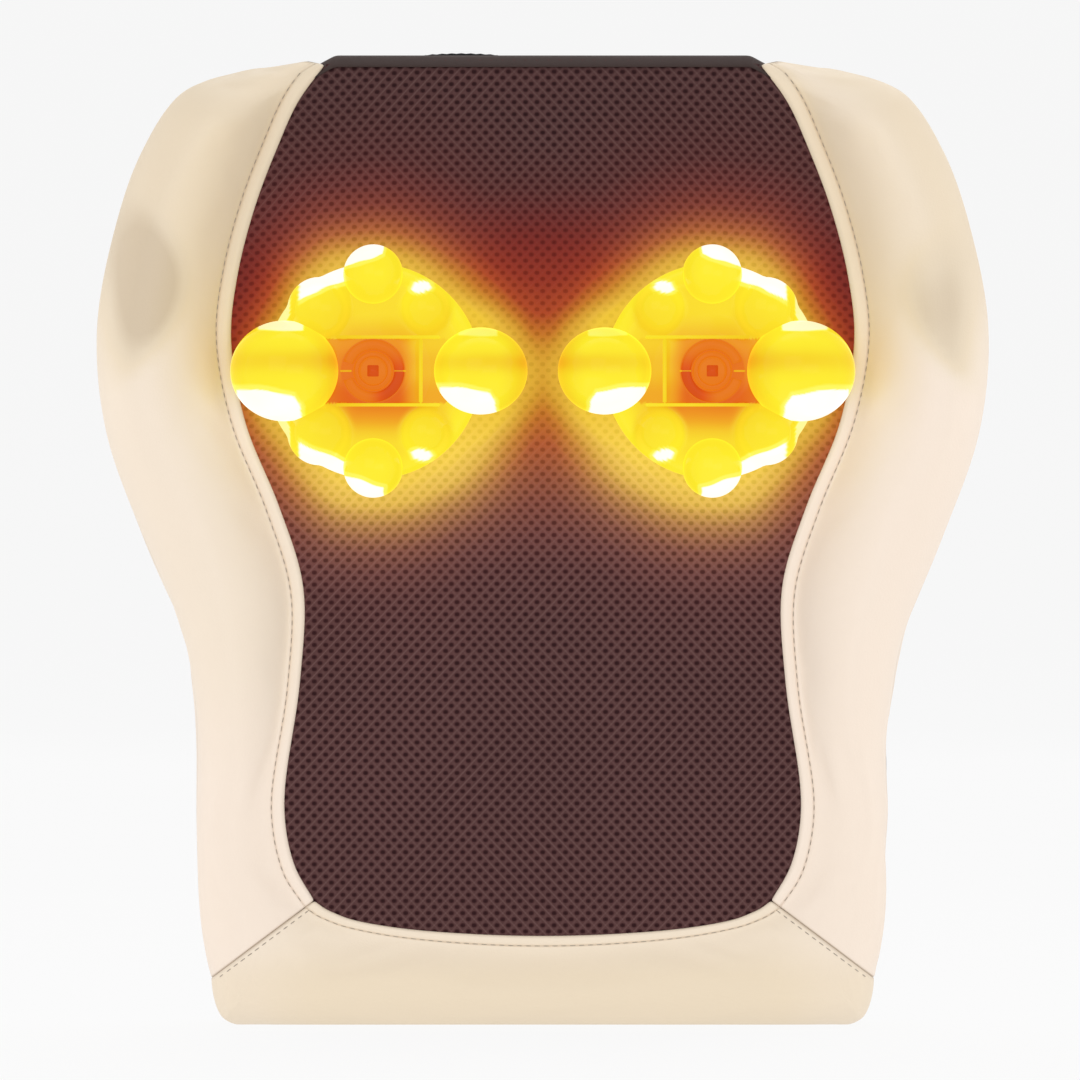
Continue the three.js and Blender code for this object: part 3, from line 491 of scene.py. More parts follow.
def mesh_material():
    """Knitted spacer mesh: pale diagonal strands round dark oval holes, with the lamps' light behind it
    painted on as a glow round the heads.
    """
    n = Nodes("brown_spacer_mesh")
    place = n.place()
    u = n.math("MULTIPLY", n.attribute("weave_u"), 2 * math.pi / HOLE_PITCH)
    v = n.math("MULTIPLY", n.attribute("weave_v"), math.pi / ROW_PITCH)
    flatten = n.math("ADD", n.math("MULTIPLY", n.math("COSINE", n.math("MULTIPLY", v, 2.0)), 0.4), 0.6)
    cell = n.math("MULTIPLY", n.math("MULTIPLY", n.math("COSINE", u), n.math("COSINE", v)), flatten)
    hole = n.ramp(cell, [(0.05, BLACK), (0.34, WHITE)])
    rising = strand_lines(n, n.math("SUBTRACT", u, v))
    falling = strand_lines(n, n.math("ADD", u, v))
    drift = n.noise(place, 22.0, 1.0)
    rising = n.mix(n.ramp(drift, [(0.35, grey(0.25)), (0.65, grey(0.9))]), BLACK, rising)
    falling = n.mix(n.ramp(drift, [(0.35, grey(0.8)), (0.65, grey(0.15))]), BLACK, falling)
    strands = n.mix(1.0, rising, falling, "ADD")
    tone = n.noise(place, 14.0, 3.0)
    body = n.ramp(tone, [(0.3, (0.077, 0.030, 0.029)), (0.7, (0.095, 0.037, 0.036))])
    yarn = n.noise(n.scaled(place, (2600.0, 2600.0, 5200.0)), 1.0, 2.0)
    body = n.mix(n.math("MULTIPLY", yarn, 0.30), body, (0.12, 0.062, 0.062))
    knit = n.mix(strands, body, (0.146, 0.077, 0.072))
    knit = n.mix(hole, knit, (0.042, 0.0120, 0.0135))
    height = n.add("ShaderNodeSeparateXYZ", {"Vector": place}).outputs["Z"]
    knit = n.mix(1.0, knit, n.ramp(height, [(0.27, WHITE), (0.34, grey(0.84))]), "MULTIPLY")
    glow = n.attribute("glow")
    haze = n.attribute("haze")
    # Base colour turned dark red where the painted glow lies, against the heads' real yellow light falling
    # there.
    reddened = n.ramp(glow, [(0.0, BLACK), (0.30, grey(0.8))])
    red = n.math("MULTIPLY", reddened, n.math("SUBTRACT", 1.0, haze))
    n.link(n.mix(red, knit, (0.070, 0.014, 0.012)), "Base Color")
    n.link(n.bump(yarn, 0.5, 0.0002), "Normal")
    # Painted light: the lamps' glow through the mesh, given as emission.
    lit = n.mix(haze, n.ramp(glow, GLOW_STOPS), n.ramp(glow, HAZE_STOPS))
    left = n.ramp(glow, [(0.3, grey(0.58)), (0.95, grey(0.92))])
    shade = n.mix(hole, WHITE, left)
    n.link(n.mix(1.0, lit, shade, "MULTIPLY"), "Emission Color")
    return n.finish(Emission_Strength=1.0, Roughness=0.85, Specular_IOR_Level=0.2)


def woven_material(name, color, scale=900.0, rough=0.8):
    """Plain weave or webbing."""
    n = Nodes(name)
    place = n.place()
    warp = n.add("ShaderNodeTexWave", {"Vector": place, "Scale": scale}, bands_direction="X").outputs["Fac"]
    weft = n.add("ShaderNodeTexWave", {"Vector": place, "Scale": scale}, bands_direction="Z").outputs["Fac"]
    weave = n.math("MULTIPLY", warp, weft)
    light = tuple(min(1, c * 1.8 + 0.003) for c in color)
    cloud = n.noise(place, 30.0, 3.0)
    base = n.mix(weave, color, light)
    n.link(n.mix(n.math("MULTIPLY", cloud, 0.4), base, light), "Base Color")
    n.link(n.bump(weave, 0.6, 0.0003), "Normal")
    return n.finish(Roughness=rough, Specular_IOR_Level=0.2)


def moulded_material(name, color, rough=0.5, metallic=0.0, grain=2500.0, depth=0.12):
    """Moulded plastic or plated metal with a fine surface and slightly uneven gloss."""
    n = Nodes(name)
    place = n.place()
    fine = n.noise(place, grain, 2.0)
    broad = n.noise(place, 45.0, 3.0)
    lighter = tuple(min(1, c * 1.18 + 0.006) for c in color)
    n.link(n.mix(broad, color, lighter), "Base Color")
    n.link(n.ramp(broad, [(0.3, grey(rough * 0.8)), (0.7, grey(min(1, rough * 1.2)))]), "Roughness")
    n.link(n.bump(fine, depth, 0.0002), "Normal")
    return n.finish(Metallic=metallic)


def lit_material(name, stops, rough=0.14):
    """Translucent plastic lit by the lamps behind it: its tone follows a vertex attribute that holds the
    lamps' glow together with painted highlights and painted shade.
    """
    n = Nodes(name)
    place = n.place()
    cloud = n.noise(place, 40.0, 2.0)
    color = n.ramp(n.varied(n.attribute("glow_and_painted_light"), cloud, 0.06), stops)
    n.link(n.mix(0.88, color, (0.03, 0.012, 0.0)), "Base Color")
    n.link(color, "Emission Color")
    n.link(n.bump(n.noise(place, 700.0, 2.0), 0.03, 0.0002), "Normal")
    gloss = {"Specular_IOR_Level": 0.10, "Coat_Weight": 0.03, "Coat_Roughness": 0.05}
    return n.finish(Emission_Strength=0.85, Roughness=rough, **gloss)


GLOW_STOPS = [
    (0.0, (0.0, 0.0, 0.0)),
    (0.12, (0.022, 0.0, 0.0)),
    (0.22, (0.065, 0.0, 0.0)),
    (0.35, (0.135, 0.004, 0.0)),
    (0.48, (0.22, 0.014, 0.0)),
    (0.60, (0.35, 0.045, 0.003)),
    (0.72, (0.48, 0.155, 0.006)),
    (0.82, (0.59, 0.30, 0.016)),
    (0.92, (0.72, 0.45, 0.032)),
    (1.0, (0.80, 0.545, 0.030)),
]
HAZE_STOPS = [
    (0.0, (0.0, 0.0, 0.0)),
    (0.12, (0.020, 0.004, 0.003)),
    (0.22, (0.065, 0.018, 0.012)),
    (0.35, (0.145, 0.047, 0.021)),
    (0.48, (0.25, 0.100, 0.029)),
    (0.60, (0.37, 0.175, 0.034)),
    (0.72, (0.53, 0.30, 0.040)),
    (0.82, (0.69, 0.44, 0.050)),
    (0.92, (0.77, 0.52, 0.058)),
    (1.0, (0.87, 0.62, 0.054)),
]
LEATHER = leather_material()
MESH = mesh_material()
STITCH = thread_material("grey_thread", (0.56, 0.475, 0.385))
DARK_THREAD = thread_material("black_thread", (0.05, 0.05, 0.052))
BLACK_CLOTH = woven_material("black_fabric", (0.012, 0.012, 0.013))
WEBBING = woven_material("webbing", (0.010, 0.010, 0.011), 500.0, 0.65)
HEM = woven_material("brown_hem", (0.046, 0.030, 0.027), 1400.0)
STRIP = woven_material("dark_strip", (0.022, 0.017, 0.018))
CASE_PLASTIC = moulded_material("case_plastic", (0.03, 0.03, 0.032), 0.55)
GREY_PLASTIC = moulded_material("grey_plastic", (0.16, 0.16, 0.17), 0.45)
GEAR_PLASTIC = moulded_material("gear_plastic", (0.80, 0.78, 0.70), 0.4)
STEEL = moulded_material("steel", (0.56, 0.57, 0.59), 0.3, 1.0, 6000.0)
ZINC = moulded_material("zinc", (0.30, 0.31, 0.33), 0.28, 1.0)
BRASS = moulded_material("brass", (0.66, 0.48, 0.20), 0.3, 1.0)
BOARD = moulded_material("board", (0.02, 0.16, 0.06), 0.35)
FOAM = moulded_material("foam", (0.80, 0.77, 0.68), 0.95, 0.0, 1200.0, 0.8)
# Lamp glow from dark red through orange to yellow; the top stops, near white, serve the painted highlights.
HEAD_STOPS = [
    (0.0, (0.54, 0.036, 0.003)),
    (0.10, (0.74, 0.085, 0.005)),
    (0.20, (0.80, 0.180, 0.008)),
    (0.30, (0.85, 0.290, 0.011)),
    (0.42, (0.88, 0.410, 0.014)),
    (0.55, (0.92, 0.590, 0.018)),
    (0.65, (0.95, 0.705, 0.022)),
    (0.75, (1.0, 0.855, 0.028)),
    (0.84, (1.0, 0.97, 0.12)),
    (0.92, (1.02, 1.02, 0.58)),
    (1.0, (1.1, 1.1, 1.03)),
]
HEAD = lit_material("head_plastic", HEAD_STOPS)
HUB = lit_material("hub_plastic", HEAD_STOPS, 0.3)
BY_SLOT = {
    "cream_leather": LEATHER,
    "brown_mesh": MESH,
    "black_fabric": BLACK_CLOTH,
    "foam": FOAM,
    "case_plastic": CASE_PLASTIC,
    "grey_plastic": GREY_PLASTIC,
    "head_plastic": HEAD,
    "hub_plastic": HUB,
    "gear_plastic": GEAR_PLASTIC,
    "steel": STEEL,
    "zinc": ZINC,
    "brass": BRASS,
    "board": BOARD,
}
for entry in frame["record"]["subparts"]:
    node = frame["nodes"][entry["node"]]
    node.data.materials.clear()
    node.data.materials.append(BY_SLOT[entry["material_slot"]])


# ---------- leather covers ----------
SEAM_DEPTH = 0.7
SEAM_REACH = 1.0
FOLD = [(3.0, 2.3), (1.0, 2.1), (0.15, 1.5), (0.0, 0.8), (0.3, 0.2), (0.9, -0.1)]
BAND_STEPS = np.array([0.34, 0.50, 0.64, 0.76, 0.86, 0.925, 0.965, 1.0, 1.035, 1.085, 1.17, 1.32])
BAND_COLUMNS = len(FOLD) + len(BAND_STEPS)
FRONT_COUNT = 24
SEAM_STEPS = 0.5 + np.array([-0.02, -0.01, -0.005, 0.005, 0.01, 0.02])
SIDE_STEPS = np.sort(np.append(np.linspace(0, 1, 17)[1:], SEAM_STEPS))
SIDE_SEAM = 0.6
CORNER_COUNT = 7
LIP_COUNT = 5
PANEL_SINK = 2.4
SHADE_PATCH_DROP = 13.0
CLOTH = {
    "quality": 6,
    "mass": 0.25,
    "tension_stiffness": 18,
    "compression_stiffness": 18,
    "bending_stiffness": 0.6,
    "use_pressure": True,
    "uniform_pressure_force": 2.0,
    "vertex_group_mass": "sewn",
    "shrink_min": -0.012,
}
CLOTH_FRAMES = 20
CLOTH_REACH = 1.0


def groove(distance, half_width, depth):
    return depth * np.exp(-((distance / half_width) ** 2))


def skin_rows(table, where):
    """The cover's outer surface: a row of points for each rib parameter, and how much painted shade a seam
    or crease gets there.
    """
    edge, outer = ribs_along(table, where)
    away, width = outward(edge, outer)
    band = band_width(edge, width)
    columns = []
    seam_shades = []

    def column(s, y, seam):
        xz = edge + away * s[:, None]
        columns.append(xyz(xz[:, 0], y, xz[:, 1]))
        seam_shades.append(np.broadcast_to(seam, width.shape))

    def front(s):
        x, z = (edge + away * s[:, None]).T
        return front_y(x, z, True)

    face = front(np.zeros_like(width))
    # Painted shade where the leather turns under at the mesh's edge, and in the band's stitched groove
    # below.
    for s, y in FOLD:
        column(s * band / BAND, face + y, 0.55 if y > 0.3 else 0.2)
    for share in BAND_STEPS:
        place = share * band
        past = (share - 1) * BAND
        puff = 0.5 * np.sin(math.pi * min(1, share)) * band / BAND
        column(place, front(place) - puff + groove(past, 0.4, 0.5), groove(past, 0.35, 0.3))
    start = BAND_STEPS[-1] * band
    for v in np.sin(np.linspace(0, math.pi / 2, FRONT_COUNT + 1)[1:]):
        place = start + (width - start) * v
        column(place, front(place), 0.0)
    radius = back_radius(width, outer[:, 1])
    y_front = front(width)
    y_back = BACK_Y - radius
    for u in SIDE_STEPS:
        y = y_front + (y_back - y_front) * u
        # Painted shade in the side's seam groove, and a dark line where the front turns on to the side.
        seam = groove((u - 0.5) * (y_back - y_front), 0.7, SIDE_SEAM)
        column(width - seam, y, 0.9 * seam + 0.22 * smooth(0.35, 0.0, u))
    for a in np.linspace(0, math.pi / 2, CORNER_COUNT + 1)[1:]:
        column(width - radius * (1 - math.cos(a)), y_back + radius * math.sin(a), 0.0)
    # Painted shade at the lip's turn on the back.
    lip = lip_place(width, outer[:, 1])
    for k in range(1, LIP_COUNT + 1):
        place = width - radius + (lip - width + radius) * k / LIP_COUNT
        column(place, BACK_Y, 0.3 * (k == LIP_COUNT))
    column(lip + 0.3, BACK_Y - 1.5, 0.5)
    return np.stack(columns, 1), np.stack(seam_shades, 1)


def valley_share():
    """How much each column of the cover lies in the valley beside the band, from 0 to 1."""
    front = np.exp(-(((np.arange(FRONT_COUNT) / FRONT_COUNT - 0.2) / 0.22) ** 2))
    behind = len(SIDE_STEPS) + CORNER_COUNT + LIP_COUNT + 1
    return np.concatenate([np.zeros(BAND_COLUMNS), front, np.zeros(behind)])


def sink_ends(points, seam_shades, ends):
    """Rounds the cover down into the seam with its neighbour at the given end rows, with painted shade along
    it.
    """
    normals = np.cross(np.gradient(points, axis=0), np.gradient(points, axis=1))
    normals /= np.maximum(np.linalg.norm(normals, axis=2, keepdims=True), 1e-9)
    inward = normals if normals[len(points) // 2, BAND_COLUMNS + 2, 1] > 0 else -normals
    for end in ends:
        distance = np.linalg.norm(points - points[end][None], axis=2)
        into = round_off(SEAM_REACH, np.minimum(distance, SEAM_REACH)) * SEAM_DEPTH / SEAM_REACH
        points = points + inward * into[..., None]
        # Painted shade along the sewn end.
        seam_shades = np.maximum(seam_shades, groove(distance, 0.45, 0.65))
    return points, seam_shades


def sunk_at_panel(points):
    """How far, from 0 to 1, the leather is drawn in round the control panel at each point."""
    low, high = box_mm("control_housing")
    middle, half = (low + high) / 2, (high - low) / 2
    outside = np.maximum(np.abs(points[..., 1:] - middle[1:]) - half[1:], 0).max(axis=-1)
    return (1 - smooth(1.0, 6.0, outside)) * (points[..., 0] > middle[0])


def painted_shade_at(x, z):
    """How much painted shade the sides' leather gets: darker up the shoulders, with a grey patch of painted
    shade on each. Also the bottom roll's, darker low down and in the middle.
    """
    left = x < 0
    # Painted shade, darker up the shoulders, more on the left.
    side = np.where(left, 0.22, 0.02) * smooth(80, 150, z)
    side += np.where(left, 0.48, 0.52) * smooth(225, 300, z)
    inner = 131 + 9 * ((z - 276) / 24) ** 2
    # A grey patch of painted shade on each shoulder, the right one lower.
    shade_patch = smooth(inner - 4, inner + 9, np.abs(x)) * smooth(167, 149, np.abs(x))
    height = np.where(left, z, z + SHADE_PATCH_DROP)
    shade_patch *= smooth(226, 264, height) * smooth(316, 274, height)
    side += np.where(left, 0.72, 0.68) * shade_patch
    # The bottom roll: painted shade, darker low down and in the middle.
    roll_shade = 0.57 - 0.15 * smooth(80, 115, np.abs(x)) - 0.22 * smooth(14, 34, z)
    return side, roll_shade


def cloth_swell(obj, pinned):
    """Lets air pressure round the cover out, with its sewn edges held, and applies the result."""
    scene = bpy.context.scene
    rest = np.array([v.co for v in obj.data.vertices])
    group = obj.vertex_groups.new(name="sewn")
    group.add(np.flatnonzero(pinned).tolist(), 1.0, "REPLACE")
    step = obj.modifiers.new("cloth", "CLOTH")
    for name, value in CLOTH.items():
        setattr(step.settings, name, value)
    step.settings.effector_weights.gravity = 0
    step.collision_settings.use_collision = False
    step.point_cache.frame_start = 1
    step.point_cache.frame_end = CLOTH_FRAMES
    for number in range(1, CLOTH_FRAMES + 1):
        scene.frame_set(number)
    shown = obj.evaluated_get(bpy.context.evaluated_depsgraph_get())
    moved = np.array([v.co for v in shown.data.vertices]) - rest
    obj.modifiers.remove(step)
    size = np.linalg.norm(moved, axis=1, keepdims=True)
    limit = CLOTH_REACH * MM
    moved *= limit / (limit + size)
    obj.data.vertices.foreach_set("co", (rest + moved).ravel())
    obj.data.update()
    scene.frame_set(1)


def make_cover(name, table, where, sewn_ends, cap_row=None):
    """One leather cover over its ribs, swollen by cloth simulation and finished with a subdivision."""
    points, seam_shades = skin_rows(table, where)
    points, seam_shades = sink_ends(points, seam_shades, sewn_ends)
    sunk = sunk_at_panel(points)
    points[..., 0] -= PANEL_SINK * sunk
    # Painted shade on the leather: darker on the shoulders and low on the bottom roll.
    side, roll_shade = painted_shade_at(points[..., 0], points[..., 2])
    # Painted light: the valley beside the band is lightened against its own shade.
    side -= 0.17 * valley_share() * smooth(210, 300, points[..., 2])
    rows, columns = seam_shades.shape
    faces = grid_faces(rows, columns)
    if cap_row is not None:
        faces.append([cap_row % rows * columns + j for j in range(columns)])
    obj = make_object(f"{name}_leather", points.reshape(-1, 3), faces, LEATHER, slot="cream_leather")
    recalculate_normals(obj)
    # The attribute seam holds painted shade for seams and creases.
    set_attribute(obj, "seam", seam_shades.ravel())
    set_attribute(obj, "tan", (roll_shade if table is ALL_BOTTOM else side).ravel())
    pinned = sunk > 0.02
    pinned[:, :BAND_COLUMNS] = True
    pinned[:, -LIP_COUNT - 1 :] = True
    pinned[:4] = True
    pinned[-4:] = True
    cloth_swell(obj, pinned.ravel())
    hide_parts(name, name.replace("cover", "foam"))
    return subdivided(obj)


def closing_in(count, at_start, at_end):
    """Rib parameters from 0 to 1, set closely next to a sewn end."""
    tight = np.array([0.0, 0.0011, 0.0024, 0.0042])
    low = tight if at_start else np.zeros(1)
    high = 1 - tight[::-1] if at_end else np.ones(1)
    return np.concatenate([low, np.linspace(0, 1, count)[1:-1], high])


left_cover = make_cover("left_wing_cover", mirrored(WING_RIBS), closing_in(88, False, True), [-1], 0)
right_cover = make_cover("right_wing_cover", WING_RIBS, closing_in(88, False, True), [-1], 0)
bottom_cover = make_cover("bottom_cover", ALL_BOTTOM, closing_in(70, True, True), [0, -1])


# ---------- mesh face ----------
MESH_HALF = 120.0
MESH_LOW_Z = 28.0
MESH_DROOP = 5.0
PIT_DEPTH = 1.3
KNOT_RISE = 0.22
BESIDE_DEPTH = 0.30
ABOVE_DEPTH = 0.05
TUCK = 3.0
OPENING_R = 35.5
TOP_DROP = 0.5
END_TUCK = 6.0
HEM_RISE = 5.76
HEM_PROFILE = [
    (4.0, 2.2),
    (4.6, 0.6),
    (4.2, -0.1),
    (2.5, -0.4),
    (1.0, -0.1),
    (0.3, 1.2),
    (0.0, 4.0),
    (0.1, 9.0),
    (-0.4, 14.0),
]


def end_slope(x):
    """How far the cushion's top edge drops towards its ends, where it goes under the leather."""
    return 0.55 * np.maximum(0, np.abs(x) - TOP_X + 1.5)


def make_mesh_face():
    """The knitted face: a fine grid with a pit at each hole and a raised knot between the holes."""
    step_x = HOLE_PITCH / 4
    step_z = ROW_PITCH / 2
    columns = 2 * int(MESH_HALF / step_x) + 1
    rows = int((TOP_Z - 1.0 - MESH_LOW_Z) / step_z) + 1
    jj, ii = np.indices((rows, columns))
    ii -= columns // 2
    x = ii * step_x
    z = MESH_LOW_Z + jj * step_z
    is_hole = ((ii % 4 == 0) & (jj % 4 == 0)) | ((ii % 4 == 2) & (jj % 4 == 2))
    is_knot = ((ii % 4 == 2) & (jj % 4 == 0)) | ((ii % 4 == 0) & (jj % 4 == 2))
    beside = (ii % 2 == 1) & (jj % 2 == 0)
    above = (ii % 2 == 0) & (jj % 2 == 1)
    depths = [PIT_DEPTH, -KNOT_RISE, BESIDE_DEPTH, ABOVE_DEPTH]
    depth = np.select([is_hole, is_knot, beside, above], depths, 0.0)
    weave = np.stack([x, z - MESH_LOW_Z], -1).reshape(-1, 2)
    z = z - MESH_DROOP * (np.abs(x) / 115) ** 3 * smooth(120, 300, z)
    y = front_y(x, z, False) + 0.9 + depth
    edge_x = np.interp(z, wing_edge[::-1, 1], wing_edge[::-1, 0])
    low_edge = np.interp(np.abs(x), bottom_edge[:49][::-1, 0], bottom_edge[:49][::-1, 1])
    inside = (np.abs(x) < edge_x + TUCK) & (z > low_edge - TUCK) & (z < TOP_Z - 1.4 - end_slope(x))
    inside &= np.hypot(np.abs(x) - HEAD_X, z - HEAD_Z) > OPENING_R
    number = np.arange(rows * columns).reshape(rows, columns)
    a, b, c, d = number[:-1, :-1], number[:-1, 1:], number[1:, 1:], number[1:, :-1]
    good = inside[:-1, :-1] & inside[:-1, 1:] & inside[1:, 1:] & inside[1:, :-1]
    even = ((ii + jj) % 2 == 0)[:-1, :-1]
    halves = ((a, b, d, even), (b, c, d, even), (a, b, c, ~even), (a, c, d, ~even))
    triangles = np.concatenate([xyz(p, q, r)[good & kind] for p, q, r, kind in halves])
    used, triangles = np.unique(triangles, return_inverse=True)
    points = xyz(x, y, z).reshape(-1, 3)[used]
    obj = make_object("knitted_mesh", points, triangles.reshape(-1, 3).tolist(), MESH, slot="brown_mesh")
    glow, haze = glow_at(points[:, 0], points[:, 2])
    values = {"weave_u": weave[used, 0], "weave_v": weave[used, 1], "glow": glow, "haze": haze}
    for name, value in values.items():
        set_attribute(obj, name, value)
    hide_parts("mesh_face")


GLOW_FADE = [(30, 1.0), (38, 0.96), (44, 0.84), (48, 0.72), (52, 0.61), (57, 0.48), (62, 0.35)]
GLOW_FADE += [(70, 0.22), (80, 0.12), (92, 0.05), (108, 0.0)]


def glow_at(x, z):
    """How strongly the lamps shine through the mesh, and how yellow that light is, each from 0 to 1."""
    reach, fade = np.array(GLOW_FADE).T
    total = np.zeros_like(x)
    yellow = np.zeros_like(x)
    for side in (-1, 1):
        dx = (x - side * HEAD_X) * side
        dz = z - HEAD_Z
        away = np.hypot(dx, dz)
        out, up = dx / away, dz / away
        shift = 5 * smooth(-0.1, 1, out) * smooth(-0.6, 0.7, up) - 6.3 * smooth(0.1, -0.8, up)
        shift += 1.8 * smooth(0.2, -0.7, out) * smooth(0.0, 0.5, up)
        shift += 6.5 * smooth(0.2, 0.8, out) * smooth(-0.2, -0.7, up)
        shift -= 2.0 * smooth(0.1, 0.4, out) * smooth(0.5, 0.8, up)
        share = np.interp(away + shift, reach, fade)
        ball = np.maximum(0, np.hypot(dx + 40, dz) - 17.3)
        share += 0.14 * np.exp(-((ball / 8) ** 2))
        total += share
        below = smooth(-0.2, -0.85, up) * (1 - 0.5 * smooth(0.2, 0.7, out))
        yellow += share * (below + 0.4 * smooth(0.6, 1.0, up))
    yellow /= np.maximum(total, 1e-6)
    between = 0.10 * np.exp(-((x / 30) ** 2) - (((z - HEAD_Z - 38) / 26) ** 2))
    return np.clip(total + between, 0, 1), np.clip(yellow, 0, 1)


def make_hem():
    """The plain folded hem along the top of the mesh."""
    x = np.linspace(-TOP_X - END_TUCK, TOP_X + END_TUCK, 90)
    rows = []
    for drop, back in HEM_PROFILE:
        z = TOP_Z - TOP_DROP + 0.2 - drop - end_slope(x)
        y = FACE_Y + HEM_RISE * smooth(4.6, 0, drop) + back
        rows.append(xyz(x, y, z))
    obj = make_object("top_hem", np.vstack(rows), grid_faces(len(rows), len(x)), HEM, slot="brown_mesh")
    subdivided(obj)


make_mesh_face()
make_hem()


# ---------- stitching ----------
STITCH_PITCH = 3.3
STITCH_LENGTH = 2.1
STITCH_R = 0.19
STITCH_LIFT = 0.12
SEAM_OFFSET = 1.7


def surface_of(*objects):
    """A search tree of the objects' finished faces, in metres."""
    depsgraph = bpy.context.evaluated_depsgraph_get()
    points, faces = [], []
    for obj in objects:
        mesh = obj.evaluated_get(depsgraph).data
        start = len(points)
        points.extend(v.co[:] for v in mesh.vertices)
        faces.extend([start + v for v in p.vertices] for p in mesh.polygons)
    return BVHTree.FromPolygons(points, faces)


leather_surface = surface_of(left_cover, right_cover, bottom_cover)


def on_front(points_xz):
    """Points on the leather's front, with the surface's normal, where the leather is."""
    found = []
    for x, z in points_xz:
        place, normal, _, _ = leather_surface.ray_cast(Vector((x * MM, -0.2, z * MM)), Vector((0, 1, 0)))
        if place is not None:
            normal = np.array(normal)
            found.append((np.array(place) / MM, -normal if normal[1] > 0 else normal))
    return found


def evenly(line, pitch):
    """Points along a polyline at an even pitch."""
    line = np.asarray(line, float)
    runs = np.concatenate([[0], np.cumsum(np.linalg.norm(np.diff(line, axis=0), axis=1))])
    where = np.arange(pitch / 2, runs[-1], pitch)
    return np.stack([np.interp(where, runs, line[:, k]) for k in range(line.shape[1])], 1)


def stitch_row(parts, anchors):
    """One capsule of thread for each stitch, along a row of places with the surface's outward normals."""
    places = np.array([p for p, _ in anchors])
    tangents = np.gradient(places, axis=0)
    for (place, normal), tangent in zip(anchors, tangents):
        tangent = tangent / max(np.linalg.norm(tangent), 1e-9)
        side = np.cross(normal, tangent)
        rings = []
        for u, r in ((0.0, 0.35), (0.15, 0.85), (0.5, 1.0), (0.85, 0.85), (1.0, 0.35)):
            arch = STITCH_LIFT * (1 - (2 * u - 1) ** 2) - 0.05
            middle = place + tangent * (u - 0.5) * STITCH_LENGTH + normal * arch
            spokes = [side * math.cos(a) + normal * math.sin(a) for a in turns(6)]
            rings.append([middle + STITCH_R * r * spoke for spoke in spokes])
        parts.rings(rings, capped=True)


def band_line(table):
    """The seam where the band meets the padding."""
    edge, outer = ribs_along(table, np.linspace(0.03, 0.995, 160))
    away, width = outward(edge, outer)
    return edge + away * band_width(edge, width)[:, None]


def make_stitching():
    """The thread along the band's seam and beside each slanting seam, as one piece."""
    parts = Parts()
    for table in (WING_RIBS, mirrored(WING_RIBS), ALL_BOTTOM):
        stitch_row(parts, on_front(evenly(band_line(table), STITCH_PITCH)))
    for side in (-1, 1):
        ax, az, bx, bz = BOTTOM_RIBS[0]
        run = np.array([bx - ax, bz - az]) / math.hypot(bx - ax, bz - az)
        across = np.array([-run[1], run[0]])
        start = np.array([ax, az]) - across * SEAM_OFFSET + run * 3
        end = np.array([bx, bz]) - across * SEAM_OFFSET - run * 1
        line = np.stack([start, end]) * np.array([side, 1])
        stitch_row(parts, on_front(evenly(line, STITCH_PITCH)))
    parts.make("cover_stitching", STITCH, slot="cream_leather")


make_stitching()


# ---------- back panel, straps, top strip and hanging loop ----------
UNDERLAP = 5.0
WRINKLE = 0.22
PIPING_R = 0.8
LOOP_BOW = 0.7
LOOP_BEND = 4.0
LOOP_RISE = 0.5
TO_BACK = np.array([0.0, 1.0, 0.0])


def under_lip(table):
    """The line that the back panel reaches to, tucked under the cover's lip."""
    edge, outer = ribs_along(table, FINE)
    away, width = outward(edge, outer)
    reach = lip_place(width, outer[:, 1]) + UNDERLAP
    return edge + away * reach[:, None]


def make_back_panel():
    """The fabric stretched over the back, with a welt on each side of the zip."""
    side, below = under_lip(WING_RIBS), under_lip(ALL_BOTTOM)
    corner = below[: len(below) // 2 + 1]
    lowest = corner[-1][1]
    levels = np.linspace(lowest, side[0][1], 150)[:, None]
    half = np.interp(levels, side[::-1, 1], side[::-1, 0])
    share = np.linspace(-1, 1, 121)
    x = half * share
    foot = np.interp(np.abs(x), corner[::-1, 0], corner[::-1, 1])
    z = levels + (foot - lowest) * smooth(lowest + 45, lowest, levels)
    inset = (1 - share**6) * smooth(0, 16, levels - lowest) * smooth(0, 16, levels[-1] - levels)
    welt = 0.35 * np.exp(-(((np.abs(z - ZIP_Z) - 7.6) / 1.1) ** 2)) * smooth(ZIP_X + 5, ZIP_X, np.abs(x))
    pulls = np.sin(0.21 * x + 1.3 * np.sin(z / 31)) * np.sin(z / 17 + 0.7) * WRINKLE
    y = BACK_Y - 1.9 + inset * (1.35 + pulls) + welt
    points = xyz(x, y, z).reshape(-1, 3)
    obj = make_object("back_fabric", points, grid_faces(*x.shape), BLACK_CLOTH, slot="black_fabric")
    recalculate_normals(obj)
    thick = obj.modifiers.new("thickness", "SOLIDIFY")
    thick.thickness = 1.0 * MM
    thick.offset = -np.sign(obj.data.polygons[len(obj.data.polygons) // 2].normal.y)
    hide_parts("back_panel")


def strap_stitches(name, low, high, y):
    """A piece of thread: a sewn box with a cross in each given box on the back, from x, z to x, z."""
    parts = Parts()
    for (x0, z0), (x1, z1) in zip(low, high):
        border = [(x0, z0), (x1, z0), (x1, z1), (x0, z1), (x0, z0)]
        for line in (border, [(x0, z0), (x1, z1)], [(x0, z1), (x1, z0)]):
            places = evenly(line, STITCH_PITCH)
            stitch_row(parts, [(np.array([x, y, z]), TO_BACK) for x, z in places])
    parts.make(name, DARK_THREAD, slot="black_fabric")


